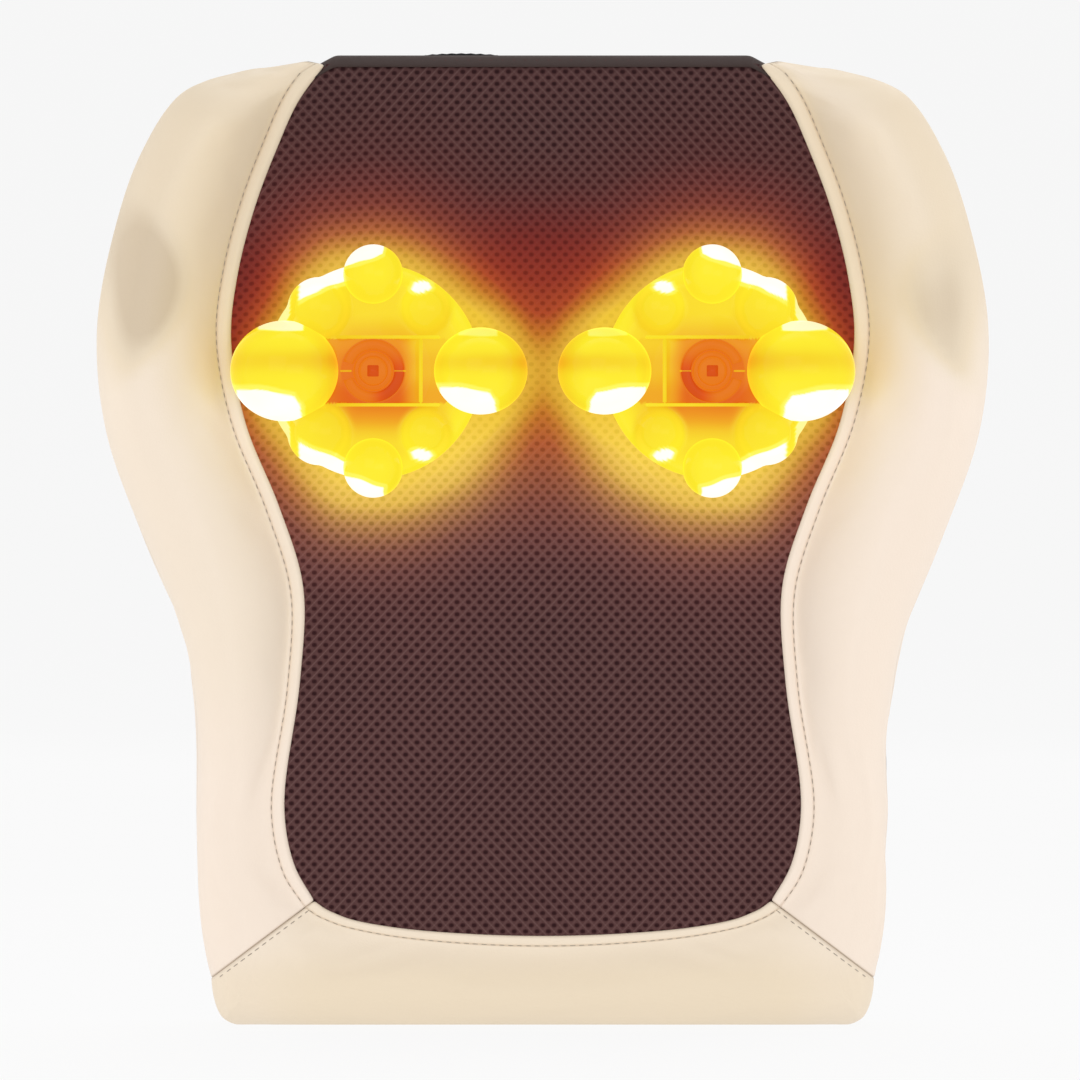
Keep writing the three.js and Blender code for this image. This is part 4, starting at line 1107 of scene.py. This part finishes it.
def make_strap(name):
    """An elastic strap sewn to the back at both ends."""
    low, high = box_mm(name)
    middle = (low + high) / 2
    x = np.linspace(low[0], high[0], 90)
    length, thick, height = high - low
    parts = Parts()
    parts.webbing(xyz(x, *middle[1:]), xyz(0 * x, 1, 0), (0, 0, 1), height / 2, thick, 9)
    strap = parts.make(f"{name}_elastic", WEBBING, slot="black_fabric")
    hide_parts(name)
    outer, inner = high[0] - 3, high[0] - 18
    corners = [(-outer, low[2] + 3), (inner, low[2] + 3)], [(-inner, high[2] - 3), (outer, high[2] - 3)]
    strap_stitches(f"{name}_stitching", *corners, high[1] - 0.1)


def make_top_strip():
    """The crowned fabric strip along the top edge, piped on both sides."""
    low, high = box_mm("top_gusset")
    half, middle = (high - low) / 2, (high + low) / 2
    wide, deep = squarish(48, 0.25, 0.6)
    x = np.linspace(low[0] - END_TUCK, high[0] + END_TUCK, 80)
    drop = TOP_DROP + end_slope(x)
    y, z = middle[1] + wide * half[1], middle[2] + deep * half[2]
    parts = Parts()
    parts.rings([xyz(a, y, z - b) for a, b in zip(x, drop)], capped=True)
    obj = parts.make("top_strip", STRIP, slot="black_fabric")
    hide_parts("top_gusset")
    piping = Parts()
    circle = xyz(0, np.cos(turns(12)), np.sin(turns(12))) * PIPING_R
    for edge_y in (low[1] + PIPING_R, high[1] - PIPING_R):
        line = [np.array([a, edge_y, high[2] - PIPING_R - b]) + circle for a, b in zip(x, drop)]
        piping.rings(line, capped=True)
    piping.make("top_piping", STRIP, slot="black_fabric")


def make_hanging_loop():
    """A loop of webbing laid over the top edge and sewn down at both ends."""
    low, high = box_mm("hanging_loop")
    thick = high[2] - TOP_Z - 0.3
    top, back = high[2] - TOP_DROP - thick / 2, high[1] - thick / 2
    bend_y, bend_z = back - LOOP_BEND, top - LOOP_BEND
    over = np.linspace(0, 1, 14)
    route = [(low[1] + (bend_y - low[1]) * t, top + LOOP_RISE * math.sin(math.pi * t)) for t in over]
    corner = np.linspace(0.15, math.pi / 2, 8)
    route += [(bend_y + LOOP_BEND * math.sin(a), bend_z + LOOP_BEND * math.cos(a)) for a in corner]
    route += [(back, z) for z in np.linspace(bend_z - 2, low[2], 12)]
    route = np.array(route)
    along = np.gradient(route, axis=0)
    along /= np.linalg.norm(along, axis=1, keepdims=True)
    path = xyz((low[0] + high[0]) / 2, route[:, 0], route[:, 1])
    outward_at = xyz(0, -along[:, 1], along[:, 0])
    width = high[0] - low[0]
    parts = Parts()
    parts.webbing(path, outward_at, (1, 0, 0), width / 2, thick, 8, LOOP_BOW)
    loop = parts.make("loop_webbing", WEBBING, slot="black_fabric")
    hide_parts("hanging_loop")
    corners = [(low[0] + 3, low[2] + 2)], [(high[0] - 3, low[2] + 14)]
    strap_stitches("loop_stitching", *corners, high[1] - 0.1)


ZIP_Z = centre_mm("zip_chain")[2]
ZIP_X = box_mm("zip_chain")[1][0]
make_back_panel()
make_strap("upper_strap")
make_strap("lower_strap")
make_top_strip()
make_hanging_loop()


# ---------- zip ----------
TOOTH_PITCH = 2.5
TAPE_THICK = 0.8


def make_zip():
    """The zip's tape, and its teeth, which mesh from both sides."""
    low, high = box_mm("zip_chain")
    x = np.linspace(low[0], high[0], 60)
    path = xyz(x, low[1] + TAPE_THICK / 2, ZIP_Z)
    tape = Parts()
    tape.webbing(path, xyz(0 * x, 1, 0), (0, 0, 1), (high[2] - low[2]) / 2, TAPE_THICK, 6)
    tape = tape.make("zip_tape", BLACK_CLOTH, slot="black_fabric")
    teeth = Parts()
    count = int((ZIP_X - 2) * 2 / TOOTH_PITCH)
    for k in range(count):
        left = -(ZIP_X - 2) + k * TOOTH_PITCH
        for shift, z0, z1 in ((0.0, -2.0, 0.5), (TOOTH_PITCH / 2, -0.5, 2.0)):
            start = left + shift
            teeth.box((start, high[1] - 1.1, ZIP_Z + z0), (start + 1.15, high[1], ZIP_Z + z1), 0.25, 1)
    teeth = teeth.make("zip_teeth", TEETH, slot="black_fabric")
    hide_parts("zip_chain")


def shield(x0, x1, half0, half1):
    """A tapered outline with round ends, as points x, z about the zip's middle."""
    turn = np.linspace(math.pi / 2, -math.pi / 2, 8)
    right = np.stack([x1 - half1 * 0.6 + half1 * 0.6 * np.cos(turn), half1 * np.sin(turn)], 1)
    left = np.stack([x0 + half0 * 0.6 - half0 * 0.6 * np.cos(turn), -half0 * np.sin(turn)], 1)
    return np.vstack([right, left])


def plate(parts, outline, y0, y1, bevel, recess=0.0):
    """A plate of a convex outline with bevelled edges and, if asked, a sunk middle on its outer side."""
    middle = outline.mean(axis=0)
    size = np.abs(outline - middle).max(axis=0)

    def ring(inset, y):
        points = middle + (outline - middle) * (1 - inset / size)
        return xyz(points[:, 0], y, ZIP_Z + points[:, 1])

    rings = [ring(bevel, y0), ring(0, y0 + bevel), ring(0, y1 - bevel), ring(bevel, y1)]
    if recess:
        rings += [ring(3 * bevel, y1), ring(4 * bevel, y1 - recess)]
    parts.rings(rings, capped=True)


def make_slider():
    """The slider's body: a plate, two side walls, and the two lugs that hold the pull."""
    low, high = box_mm("zip_slider")
    half = (high[2] - low[2]) / 2
    parts = Parts()
    plate(parts, shield(low[0], high[0], half, half * 0.72), high[1] - 0.75, high[1], 0.18)
    for side in (-1, 1):
        z0, z1 = sorted((side * (half - 1.0), side * (half - 0.1)))
        parts.box((low[0] + 0.8, low[1], ZIP_Z + z0), (high[0] - 2.2, high[1] - 0.5, ZIP_Z + z1), 0.2)
    middle = (low[0] + high[0]) / 2
    for x in (middle - 1.8, middle + 0.7):
        parts.box((x, high[1] - 0.3, ZIP_Z - 0.45), (x + 0.6, high[1] + 0.8, ZIP_Z + 0.45), 0.15)
    body = parts.make("slider_body", ZINC, body="zip_slider", slot="zinc")
    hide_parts("zip_slider")


def make_pull():
    """The pull's flat tab, with a sunk middle."""
    low, high = box_mm("zip_pull")
    half = (high[2] - low[2]) / 2
    parts = Parts()
    plate(parts, shield(low[0], high[0], half, half * 0.8), low[1], high[1], 0.14, 0.12)
    tab = parts.make("pull_tab", ZINC, body="zip_pull", slot="zinc")
    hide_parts("zip_pull")


TEETH = moulded_material("black_teeth", (0.016, 0.016, 0.017), 0.35)
make_zip()
make_slider()
make_pull()


# ---------- foam core ----------
CORE_ROWS = 14
CORE_EDGE = 4.0


def make_core(name, piece_name):
    """A foam block with rounded edges that follows the cushion's waist."""
    low, high = box_mm(name)
    z = np.linspace(low[2] + CORE_EDGE, high[2] - CORE_EDGE, CORE_ROWS)
    z = np.concatenate([[low[2]], z, [high[2]]])
    half = np.interp(z, wing_edge[::-1, 1], wing_edge[::-1, 0]) - 5.5
    half = np.where(z < 60, np.minimum(half, 70 + (z - 44) * 1.2), half)
    half = np.minimum(half, high[0])
    inset = np.concatenate([[CORE_EDGE], np.zeros(CORE_ROWS), [CORE_EDGE]])
    wide, deep = squarish(72, 0.22, 0.35)
    middle_y, half_y = (low[1] + high[1]) / 2, (high[1] - low[1]) / 2
    rings = []
    for level, reach, less in zip(z, half, inset):
        rings.append(xyz((reach - less) * wide, middle_y + (half_y - less) * deep, level))
    parts = Parts()
    parts.rings(rings, capped=True)
    block = parts.make(piece_name, FOAM, slot="foam")
    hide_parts(name)


make_core("lower_core_foam", "lower_core")
make_core("upper_core_foam", "upper_core")


# ---------- control panel ----------
SOCKET_R = 3.3
SOCKET_DEPTH = 12.0


def make_controls():
    """The trim round the control panel, the power button with its raised lip, and the socket's barrel."""
    low, high = box_mm("control_housing")
    middle, half = (low + high) / 2, (high - low) / 2
    wide, tall = squarish(64, 0.3, 0.3)
    section = [(0.6, -1.2), (0.6, 0.1), (0.2, 0.45), (-0.5, 0.45), (-0.9, 0.1), (-0.9, -0.6), (0.6, -1.2)]
    trim = Parts()
    rings = []
    for out, up in section:
        y = middle[1] + (half[1] + out) * wide
        z = middle[2] + (half[2] + out) * tall
        rings.append(xyz(high[0] + up, y, z))
    trim.rings(rings)
    trim.make("panel_trim", GREY_PLASTIC, slot="grey_plastic")

    (back, near_y, _), (face, far_y, _) = box_mm("power_button")
    radius = (far_y - near_y) / 2 - 0.8
    dome = [(0.01, back), (radius + 0.8, back), (radius + 0.8, back + 1.5), (radius, back + 1.5)]
    dome += [(radius, face - 0.9), (radius - 0.25, face - 0.35), (radius - 0.9, face - 0.05)]
    dome += [(radius - 1.6, face), (radius - 2.0, face - 0.25)]
    dome += [(radius * 0.5, face - 0.4), (0.01, face - 0.45)]
    button = Parts()
    button.turned_x(dome, *centre_mm("power_button")[1:])
    cap = button.make("button_cap", GREY_PLASTIC, body="power_button", slot="grey_plastic")
    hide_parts("power_button")

    (back, near_y, _), (face, far_y, _) = box_mm("power_socket")
    outer = (far_y - near_y) / 2
    floor = face - SOCKET_DEPTH
    barrel = [(0.01, back), (outer, back), (outer, face - 0.3), (outer - 0.3, face), (SOCKET_R + 0.3, face)]
    barrel += [(SOCKET_R, face - 0.3), (SOCKET_R, floor), (0.01, floor)]
    contact = [(0.01, floor), (0.75, floor), (0.75, face - 3), (0.01, face - 2.4)]
    socket = Parts()
    y, z = centre_mm("power_socket")[1:]
    socket.turned_x(barrel, y, z)
    socket.turned_x(contact, y, z, 16)
    barrel_piece = socket.make("socket_barrel", CASE_PLASTIC, slot="case_plastic")
    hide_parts("power_socket")


make_controls()


# ---------- massage heads ----------
DISH_R = 40.0
DISH_TOP_Y = -33.0
BALLS = {
    "outer_ball": (20.0, 33.0, 0.0, -34.2),
    "inner_ball": (17.3, -40.0, 0.0, -34.0),
    "top_ball": (11.0, 0.0, 36.0, -31.0),
    "bottom_ball": (11.0, 0.0, -36.0, -31.0),
}
BUMP_Y = -29.0
BUMPS = [(12.5, 20.0, 23.0), (12.5, 20.0, -23.0), (10.0, -19.5, 23.0), (10.0, -19.5, -23.0)]
AROUND = 180
HEAD_DROP = 0.7
BALL_SQUEEZE = 0.93
SQUARE = 2.1
RIB_UP = 12.0
RIB_ENDS = (-25.0, 14.0)
CROSS_RIB = -17.7
SHORT_RIB = 10.1
RIB_TONE = 0.46
HUB_REACH = 11.9
HUB_TONE = 0.21
SHADED_TONE = 0.20
SOCKET_SHADE_TONE = 0.08
LIT_Z = HEAD_Z - HEAD_DROP


def wobble(a, b):
    """A small uneven wave that roughens the edge of a painted highlight."""
    return 0.022 * np.sin(5.5 * a + 2 * b) + 0.012 * np.sin(13 * b - 5 * a + 1)


def ball_tone(name, out, up):
    """Tone of a lit ball at a point of its front, given as shares of its radius, with painted shade and
    painted highlights.
    """
    rough = wobble(out, up)
    # Painted shade: a darker band across the middle, darker on the side towards the cushion's middle and
    # round the rim.
    tone = 0.755 - 0.13 * np.exp(-(((up - 0.20) / 0.22) ** 2)) * (1.0 - 0.35 * out)
    tone -= 0.10 * smooth(0.35, 1.0, -out) + 0.04 * smooth(0.7, 1.0, np.hypot(out, up))
    if name in ("outer_ball", "inner_ball"):
        # Painted highlights: a white reflection low on the ball with a soft edge, and a white crescent along
        # the top.
        below = -up - 0.28 - 0.14 * (0.9 - out) + rough
        end = out + 0.25 + 0.14 * smooth(0.45, 0.75, -up) + 1.5 * rough
        painted_highlight = smooth(-0.02, 0.08, below) * smooth(-0.03, 0.09, end) * (1 - 0.5 * smooth(0.85, 0.97, out))
        highlight_edge = 0.84 * smooth(-0.22, 0.0, below) * smooth(-0.25, 0.05, end)
        highlight_crescent = 0.92 if name == "outer_ball" else 0.84
        highlight_strip = highlight_crescent * smooth(0.68, 0.82, up + rough)
        highlight_strip *= smooth(-0.48, -0.34, out) * smooth(0.7, 0.45, out)
        return np.maximum.reduce([tone, painted_highlight, highlight_edge, highlight_strip])
    up = up if name == "top_ball" else -up
    # Painted highlight near the outer end of each small ball, with a soft edge.
    above = up - 0.13 - 0.33 * (0.97 - out) + rough
    end = out + 0.46 + 1.5 * rough
    painted_highlight = smooth(-0.02, 0.13, above) * smooth(-0.04, 0.14, end)
    highlight_edge = 0.83 * smooth(-0.25, 0.0, above) * smooth(-0.3, 0.05, end)
    # Slight painted shade towards the cushion's middle and towards the dish's middle.
    tone = 0.755 - 0.03 * smooth(0.3, 0.9, -out) - 0.03 * smooth(0.0, -0.9, up)
    return np.maximum.reduce([tone, painted_highlight, highlight_edge])


def make_ball(head, x, side, name, spec):
    """A massage ball, with a faint parting line, cut off flat where it stands on the dish."""
    radius, out, up, y = spec
    work = bmesh.new()
    bmesh.ops.create_icosphere(work, subdivisions=6, radius=1)
    unit = np.array([v.co[:] for v in work.verts])
    faces = [[v.index for v in f.verts] for f in work.faces]
    work.free()
    parting = 0.005 * np.exp(-((unit[:, 1] / 0.03) ** 2))
    reach = radius * (1 + parting)
    squeeze = np.array([1.0, 1.0, BALL_SQUEEZE if radius > 15 else 1.0])
    points = np.array([x + side * out, y, LIT_Z + up]) + unit * reach[:, None] * squeeze
    on_dish = np.hypot(points[:, 0] - x, points[:, 2] - LIT_Z) < DISH_R + 0.3
    points[:, 1] = np.minimum(points[:, 1], np.where(on_dish, DISH_TOP_Y + 1, DISH_BACK_Y))
    obj = make_object(f"{head}_{name}_lit", points, faces, HEAD, body=head, slot="head_plastic")
    set_attribute(obj, "glow_and_painted_light", ball_tone(name, unit[:, 0] * side, unit[:, 2]))
    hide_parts(f"{head}_{name}")


def rim_radius(angles, side):
    """The dish's rim at each angle: round, but swelling where the outer bumps reach past it."""
    rim = np.full_like(angles, DISH_R)
    for radius, out, up in BUMPS:
        away = math.hypot(out, up)
        turn = angles - math.atan2(up, side * out)
        inside = (radius - 0.6) ** 2 - (away * np.sin(turn)) ** 2
        far = away * np.cos(turn) + np.sqrt(np.clip(inside, 0, None))
        reaches = (inside > 0) & (np.cos(turn) > 0)
        rim = np.where(reaches, np.maximum(rim, far), rim)
    return rim


def dish_height(dx, dz, side, share):
    """Front of the dish at an offset from its axis; share runs from 0 to 1 over the rim's rounding."""
    r = np.hypot(dx, dz)
    y = DISH_TOP_Y + 1.4 * smooth(13, 22, r) + 5.0 * share**1.8
    for radius, out, up in BUMPS:
        d = np.hypot(dx - side * out, dz - up)
        dome = BUMP_Y - np.sqrt(np.clip(radius**2 - d**2, 0, None))
        weight = smooth(radius, radius - 4.0, d)
        y = np.minimum(y, y * (1 - weight) + dome * weight)
    return y


def dish_tone(points, x, side):
    """Tone of the lit dish: orange by the hub, yellow outside, painted shade on the bumps, and painted
    highlights in white.
    """
    out = (points[:, 0] - x) * side
    up = points[:, 2] - LIT_Z
    rise = np.abs(up)
    r = np.hypot(out, up)
    rough = 14 * wobble(out / 14, up / 14)
    tone = 0.675 + 0.08 * smooth(30, 38, r) + 0.05 * smooth(8, 24, out)
    near = smooth(28, 8, np.abs(out + 3))
    tone -= near * np.where(up > 0, 0.16 * smooth(22, 12.5, rise), 0.42 * smooth(28, 12.5, rise))
    recess = 0.24 + 0.08 * smooth(9, 20, out) + 0.26 * smooth(9, 17, -out) - 0.09 * smooth(0, -9, up)
    recess += 0.08 * smooth(3, 11, up)
    tone = np.where((rise < 12.0) & (r < 30), recess, tone)
    # Painted shade on the bumps, darker towards the head's middle.
    for radius, bump_out, bump_up in BUMPS:
        dx, dz = (out - bump_out) / radius, (rise - abs(bump_up)) / radius
        d = np.hypot(dx, dz)
        shaded_bump = 0.70 + 0.05 * dz + 0.03 * dx - 0.05 * smooth(0.5, 1.0, d) * smooth(0.3, -0.6, dz)
        weight = smooth(1.15, 0.8, d) * (bump_up * up > 0) * (rise > 12.3)
        tone = tone * (1 - weight) + shaded_bump * weight
    # Painted highlights: white strips, a wedge and a spot, each with a soft edge.
    beyond = 0.382 * out + 0.924 * rise + rough
    highlight_strip = smooth(33.6, 35.4, beyond) * smooth(6.0, 9.5, out) * smooth(30.2, 27.0, out)
    highlight_edge = 0.83 * smooth(31.0, 34.0, beyond) * smooth(4.0, 9.0, out) * smooth(32, 27, out)
    highlight_wedge = 0.88 * smooth(29.6, 31.0, out) * smooth(35.5, 37.5, r)
    highlight_spot = np.hypot((out + 17.8 + 0.35 * (rise - 31)) / 4.6, (rise - 31.2) / 2.9) + 0.09 * rough
    highlight_spot = np.maximum(smooth(1.1, 0.7, highlight_spot), 0.83 * smooth(1.7, 1.0, highlight_spot))
    return np.maximum.reduce([tone, highlight_strip, highlight_edge, highlight_wedge, highlight_spot])


def dish_rings(x, side):
    """The dish's skin, ring by ring: over its front and rim, round its edge, and inside back to the hub."""
    angles = turns(AROUND)
    rim = rim_radius(angles, side)

    def ring(r, y):
        return xyz(x + r * np.cos(angles), y, LIT_Z + r * np.sin(angles))

    def front(r, share):
        return ring(r, dish_height(r * np.cos(angles), r * np.sin(angles), side, share))

    rings = [front(r, 0.0) for r in np.linspace(7.8, 33, 52)]
    rings += [front(33 + (rim - 33) * u, u) for u in np.linspace(0.07, 1, 22)]
    edge = rings[-1][:, 1]
    rings.append(ring(rim + 0.1, np.maximum(edge + 1.0, -26.5)))
    rings.append(ring(rim - 0.2, DISH_BACK_Y - 0.4))
    rings.append(ring(rim - 0.8, DISH_BACK_Y))
    rings.append(ring(rim - 2.8, DISH_BACK_Y))
    inside = [(34.5, -28.5), (30, -29.5), (8.5, -29.5), (7.8, -25.5), (4.4, -25.5), (4.4, -33), (7.8, -33)]
    return rings + [ring(r, y) for r, y in inside]


def make_carrier(name, x, side, body):
    """The lit dish with its hub, the straight ribs round it, and a short rib on each side of the hub."""
    parts = Parts()
    rings = dish_rings(x, side)
    parts.add(np.vstack(rings), grid_faces(len(rings), AROUND, wrap=True))
    hub = [(4.4, -33.5), (4.4, -36.3), (6.6, -36.6), (7.3, -36.0), (7.4, -33.2), (7.4, -32.6)]
    parts.turned(hub, x, LIT_Z)

    def rib(x0, x1, z0, z1, rise=3, bevel=0.4):
        parts.box((x0, DISH_TOP_Y - rise, LIT_Z + z0), (x1, DISH_TOP_Y + 0.6, LIT_Z + z1), bevel)

    near, far = sorted(x + side * out for out in RIB_ENDS)
    rib(near, far, -RIB_UP - 1.2, -RIB_UP)
    rib(near, far, RIB_UP, RIB_UP + 1.2)
    cross = x + side * CROSS_RIB
    rib(cross - 0.7, cross + 0.7, -RIB_UP, RIB_UP)
    short_from = len(parts.points)
    for middle in (x - side * SHORT_RIB, x + side * SHORT_RIB):
        rib(middle - 2.2, middle + 2.2, -0.35, 0.35, 2, 0.2)
    obj = parts.make(f"{name}_lit", HEAD, body=body, slot="head_plastic")
    points = np.array(parts.points)
    tones = dish_tone(points, x, side)
    r = np.hypot(points[:, 0] - x, points[:, 2] - LIT_Z)
    rib_top = (points[:, 1] < DISH_TOP_Y - 1.5) & (np.abs(points[:, 2] - LIT_Z) < RIB_UP + 1.3)
    rib_top &= ((points[:, 0] - x) * side < 14.5) & (r > HUB_REACH)
    tones = np.where(rib_top, np.clip(RIB_TONE + 0.02 * (r - 12), RIB_TONE, 0.72), tones)
    tones = np.where(r < HUB_REACH, SHADED_TONE, tones)
    tones[short_from:] = RIB_TONE
    set_attribute(obj, "glow_and_painted_light", tones)
    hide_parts(name)


def make_hub(name, x, side, body):
    """The split ring round the hub, darker in the hub's painted shadow, and the screw with a dark square of
    painted shade standing in for its socket.
    """
    inner, outer = 7.9, 11.6
    angles = np.radians(np.linspace(18, 342, 60)) + (0 if side > 0 else math.pi)
    section = [(inner, -33.5), (inner, -34.5), (inner + 0.4, -34.9)]
    section += [(outer - 0.4, -34.9), (outer, -34.5), (outer, -33.5)]
    rows = [xyz(x + r * np.cos(angles), y, LIT_Z + r * np.sin(angles)) for r, y in section]
    clip = Parts()
    clip.rings(np.stack(rows, 1), capped=True)
    obj = clip.make(f"{name}_retaining_clip_lit", HUB, body=body, slot="hub_plastic")
    spots = np.array(clip.points)
    inward = -(spots[:, 0] - x) * side
    shadow = smooth(-3, 6, inward) * smooth(9, -2, spots[:, 2] - LIT_Z)
    set_attribute(obj, "glow_and_painted_light", HUB_TONE - 0.14 * shadow)
    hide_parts(f"{name}_retaining_clip")
    screw = Parts()
    screw.turned([(0.01, -37.9), (4.3, -37.9), (5.0, -37.6), (5.2, -36.9), (0.01, -36.8)], x, LIT_Z)
    screw.box((x - SQUARE, -38.4, LIT_Z - SQUARE), (x + SQUARE, -37.5, LIT_Z + SQUARE), 0.2)
    obj = screw.make(f"{name}_hub_screw_lit", HUB, body=body, slot="hub_plastic")
    spots = np.array(screw.points)
    # Painted shade: the raised square is dark, standing in for the socket's shadow.
    set_attribute(obj, "glow_and_painted_light", np.where(spots[:, 1] < -38.0, SOCKET_SHADE_TONE, HUB_TONE))
    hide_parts(f"{name}_hub_screw")


for head_side, sign in (("left", -1), ("right", 1)):
    head = f"{head_side}_head"
    head_x = sign * HEAD_X
    make_carrier(f"{head}_carrier", head_x, sign, head)
    make_hub(head, head_x, sign, head)
    for ball_name, ball_spec in BALLS.items():
        make_ball(head, head_x, sign, ball_name, ball_spec)


# ---------- camera, floor and light ----------
VIEW_WIDTH = 0.4032
VIEW_Z = 0.1805
LENS = 600.0
SENSOR = 36.0
LIGHTS = [
    ("key", (-0.7, -2.3, 1.0), (1.6, 1.6), 7),
    ("fill", (0.9, -2.3, 0.1), (1.6, 1.6), 8),
    ("left", (-1.3, 0.25, 0.3), (0.5, 1.0), 2.5),
    ("right", (1.3, 0.25, 0.3), (0.5, 1.0), 2.5),
    ("back", (0.4, 1.9, 2.0), (1.6, 1.2), 9),
    ("top", (0, 0.3, 1.7), (1.4, 0.8), 3),
]


def make_camera():
    """A long lens straight in front, so that the cushion shows almost without perspective."""
    data = bpy.data.cameras.new("camera")
    data.lens = LENS
    data.sensor_width = SENSOR
    data.clip_start = 0.05
    data.clip_end = 50
    camera = bpy.data.objects.new("camera", data)
    camera.location = (-0.001, -VIEW_WIDTH * LENS / SENSOR, VIEW_Z)
    camera.rotation_euler = (math.pi / 2, 0, 0)
    bpy.context.scene.collection.objects.link(camera)
    bpy.context.scene.camera = camera


def area_light(name, place, size, power):
    data = bpy.data.lights.new(name, "AREA")
    data.shape = "RECTANGLE"
    data.size, data.size_y = size
    data.energy = power
    light = bpy.data.objects.new(name, data)
    light.location = place
    light.visible_camera = False
    light.rotation_euler = (Vector((0, 0, 0.2)) - Vector(place)).to_track_quat("-Z", "Y").to_euler()
    bpy.context.scene.collection.objects.link(light)


def make_stage():
    """A round floor that curves up into a wall, so that every side has the same backdrop."""
    n = Nodes("studio")
    n.link(n.ramp(n.noise(n.place(), 3.0, 2.0), [(0.3, grey(0.019)), (0.7, grey(0.021))]), "Base Color")
    n.shader.inputs["Emission Color"].default_value = (1, 1, 1, 1)
    n.finish(Emission_Strength=0.904, Roughness=0.9, Specular_IOR_Level=0.1)
    reach, bend, height = 10.0, 2.0, 5.0
    curve = np.linspace(0, math.pi / 2, 12)
    profile = [(0.01, 0.0)]
    profile += [(reach - bend + bend * math.sin(a), bend - bend * math.cos(a)) for a in curve]
    profile.append((reach, height))
    turn = turns(96)
    rings = [xyz(r * np.cos(turn), r * np.sin(turn), z) / MM for r, z in profile]
    faces = grid_faces(len(profile), 96, wrap=True)
    faces.append(list(range(96)))
    floor = make_object("floor", np.vstack(rings), faces, n.mat, body=None)


def make_lights():
    """Soft lamps all round, none of them seen by the camera, and an even pale sky."""
    for name, place, size, power in LIGHTS:
        area_light(name, place, size, power)
    world = bpy.data.worlds.new("soft")
    world.use_nodes = True
    world.node_tree.nodes["Background"].inputs[0].default_value = (1, 1, 1, 1)
    world.node_tree.nodes["Background"].inputs[1].default_value = 0.70
    bpy.context.scene.world = world
    bpy.context.scene.view_settings.view_transform = "Standard"


make_camera()
make_stage()
make_lights()
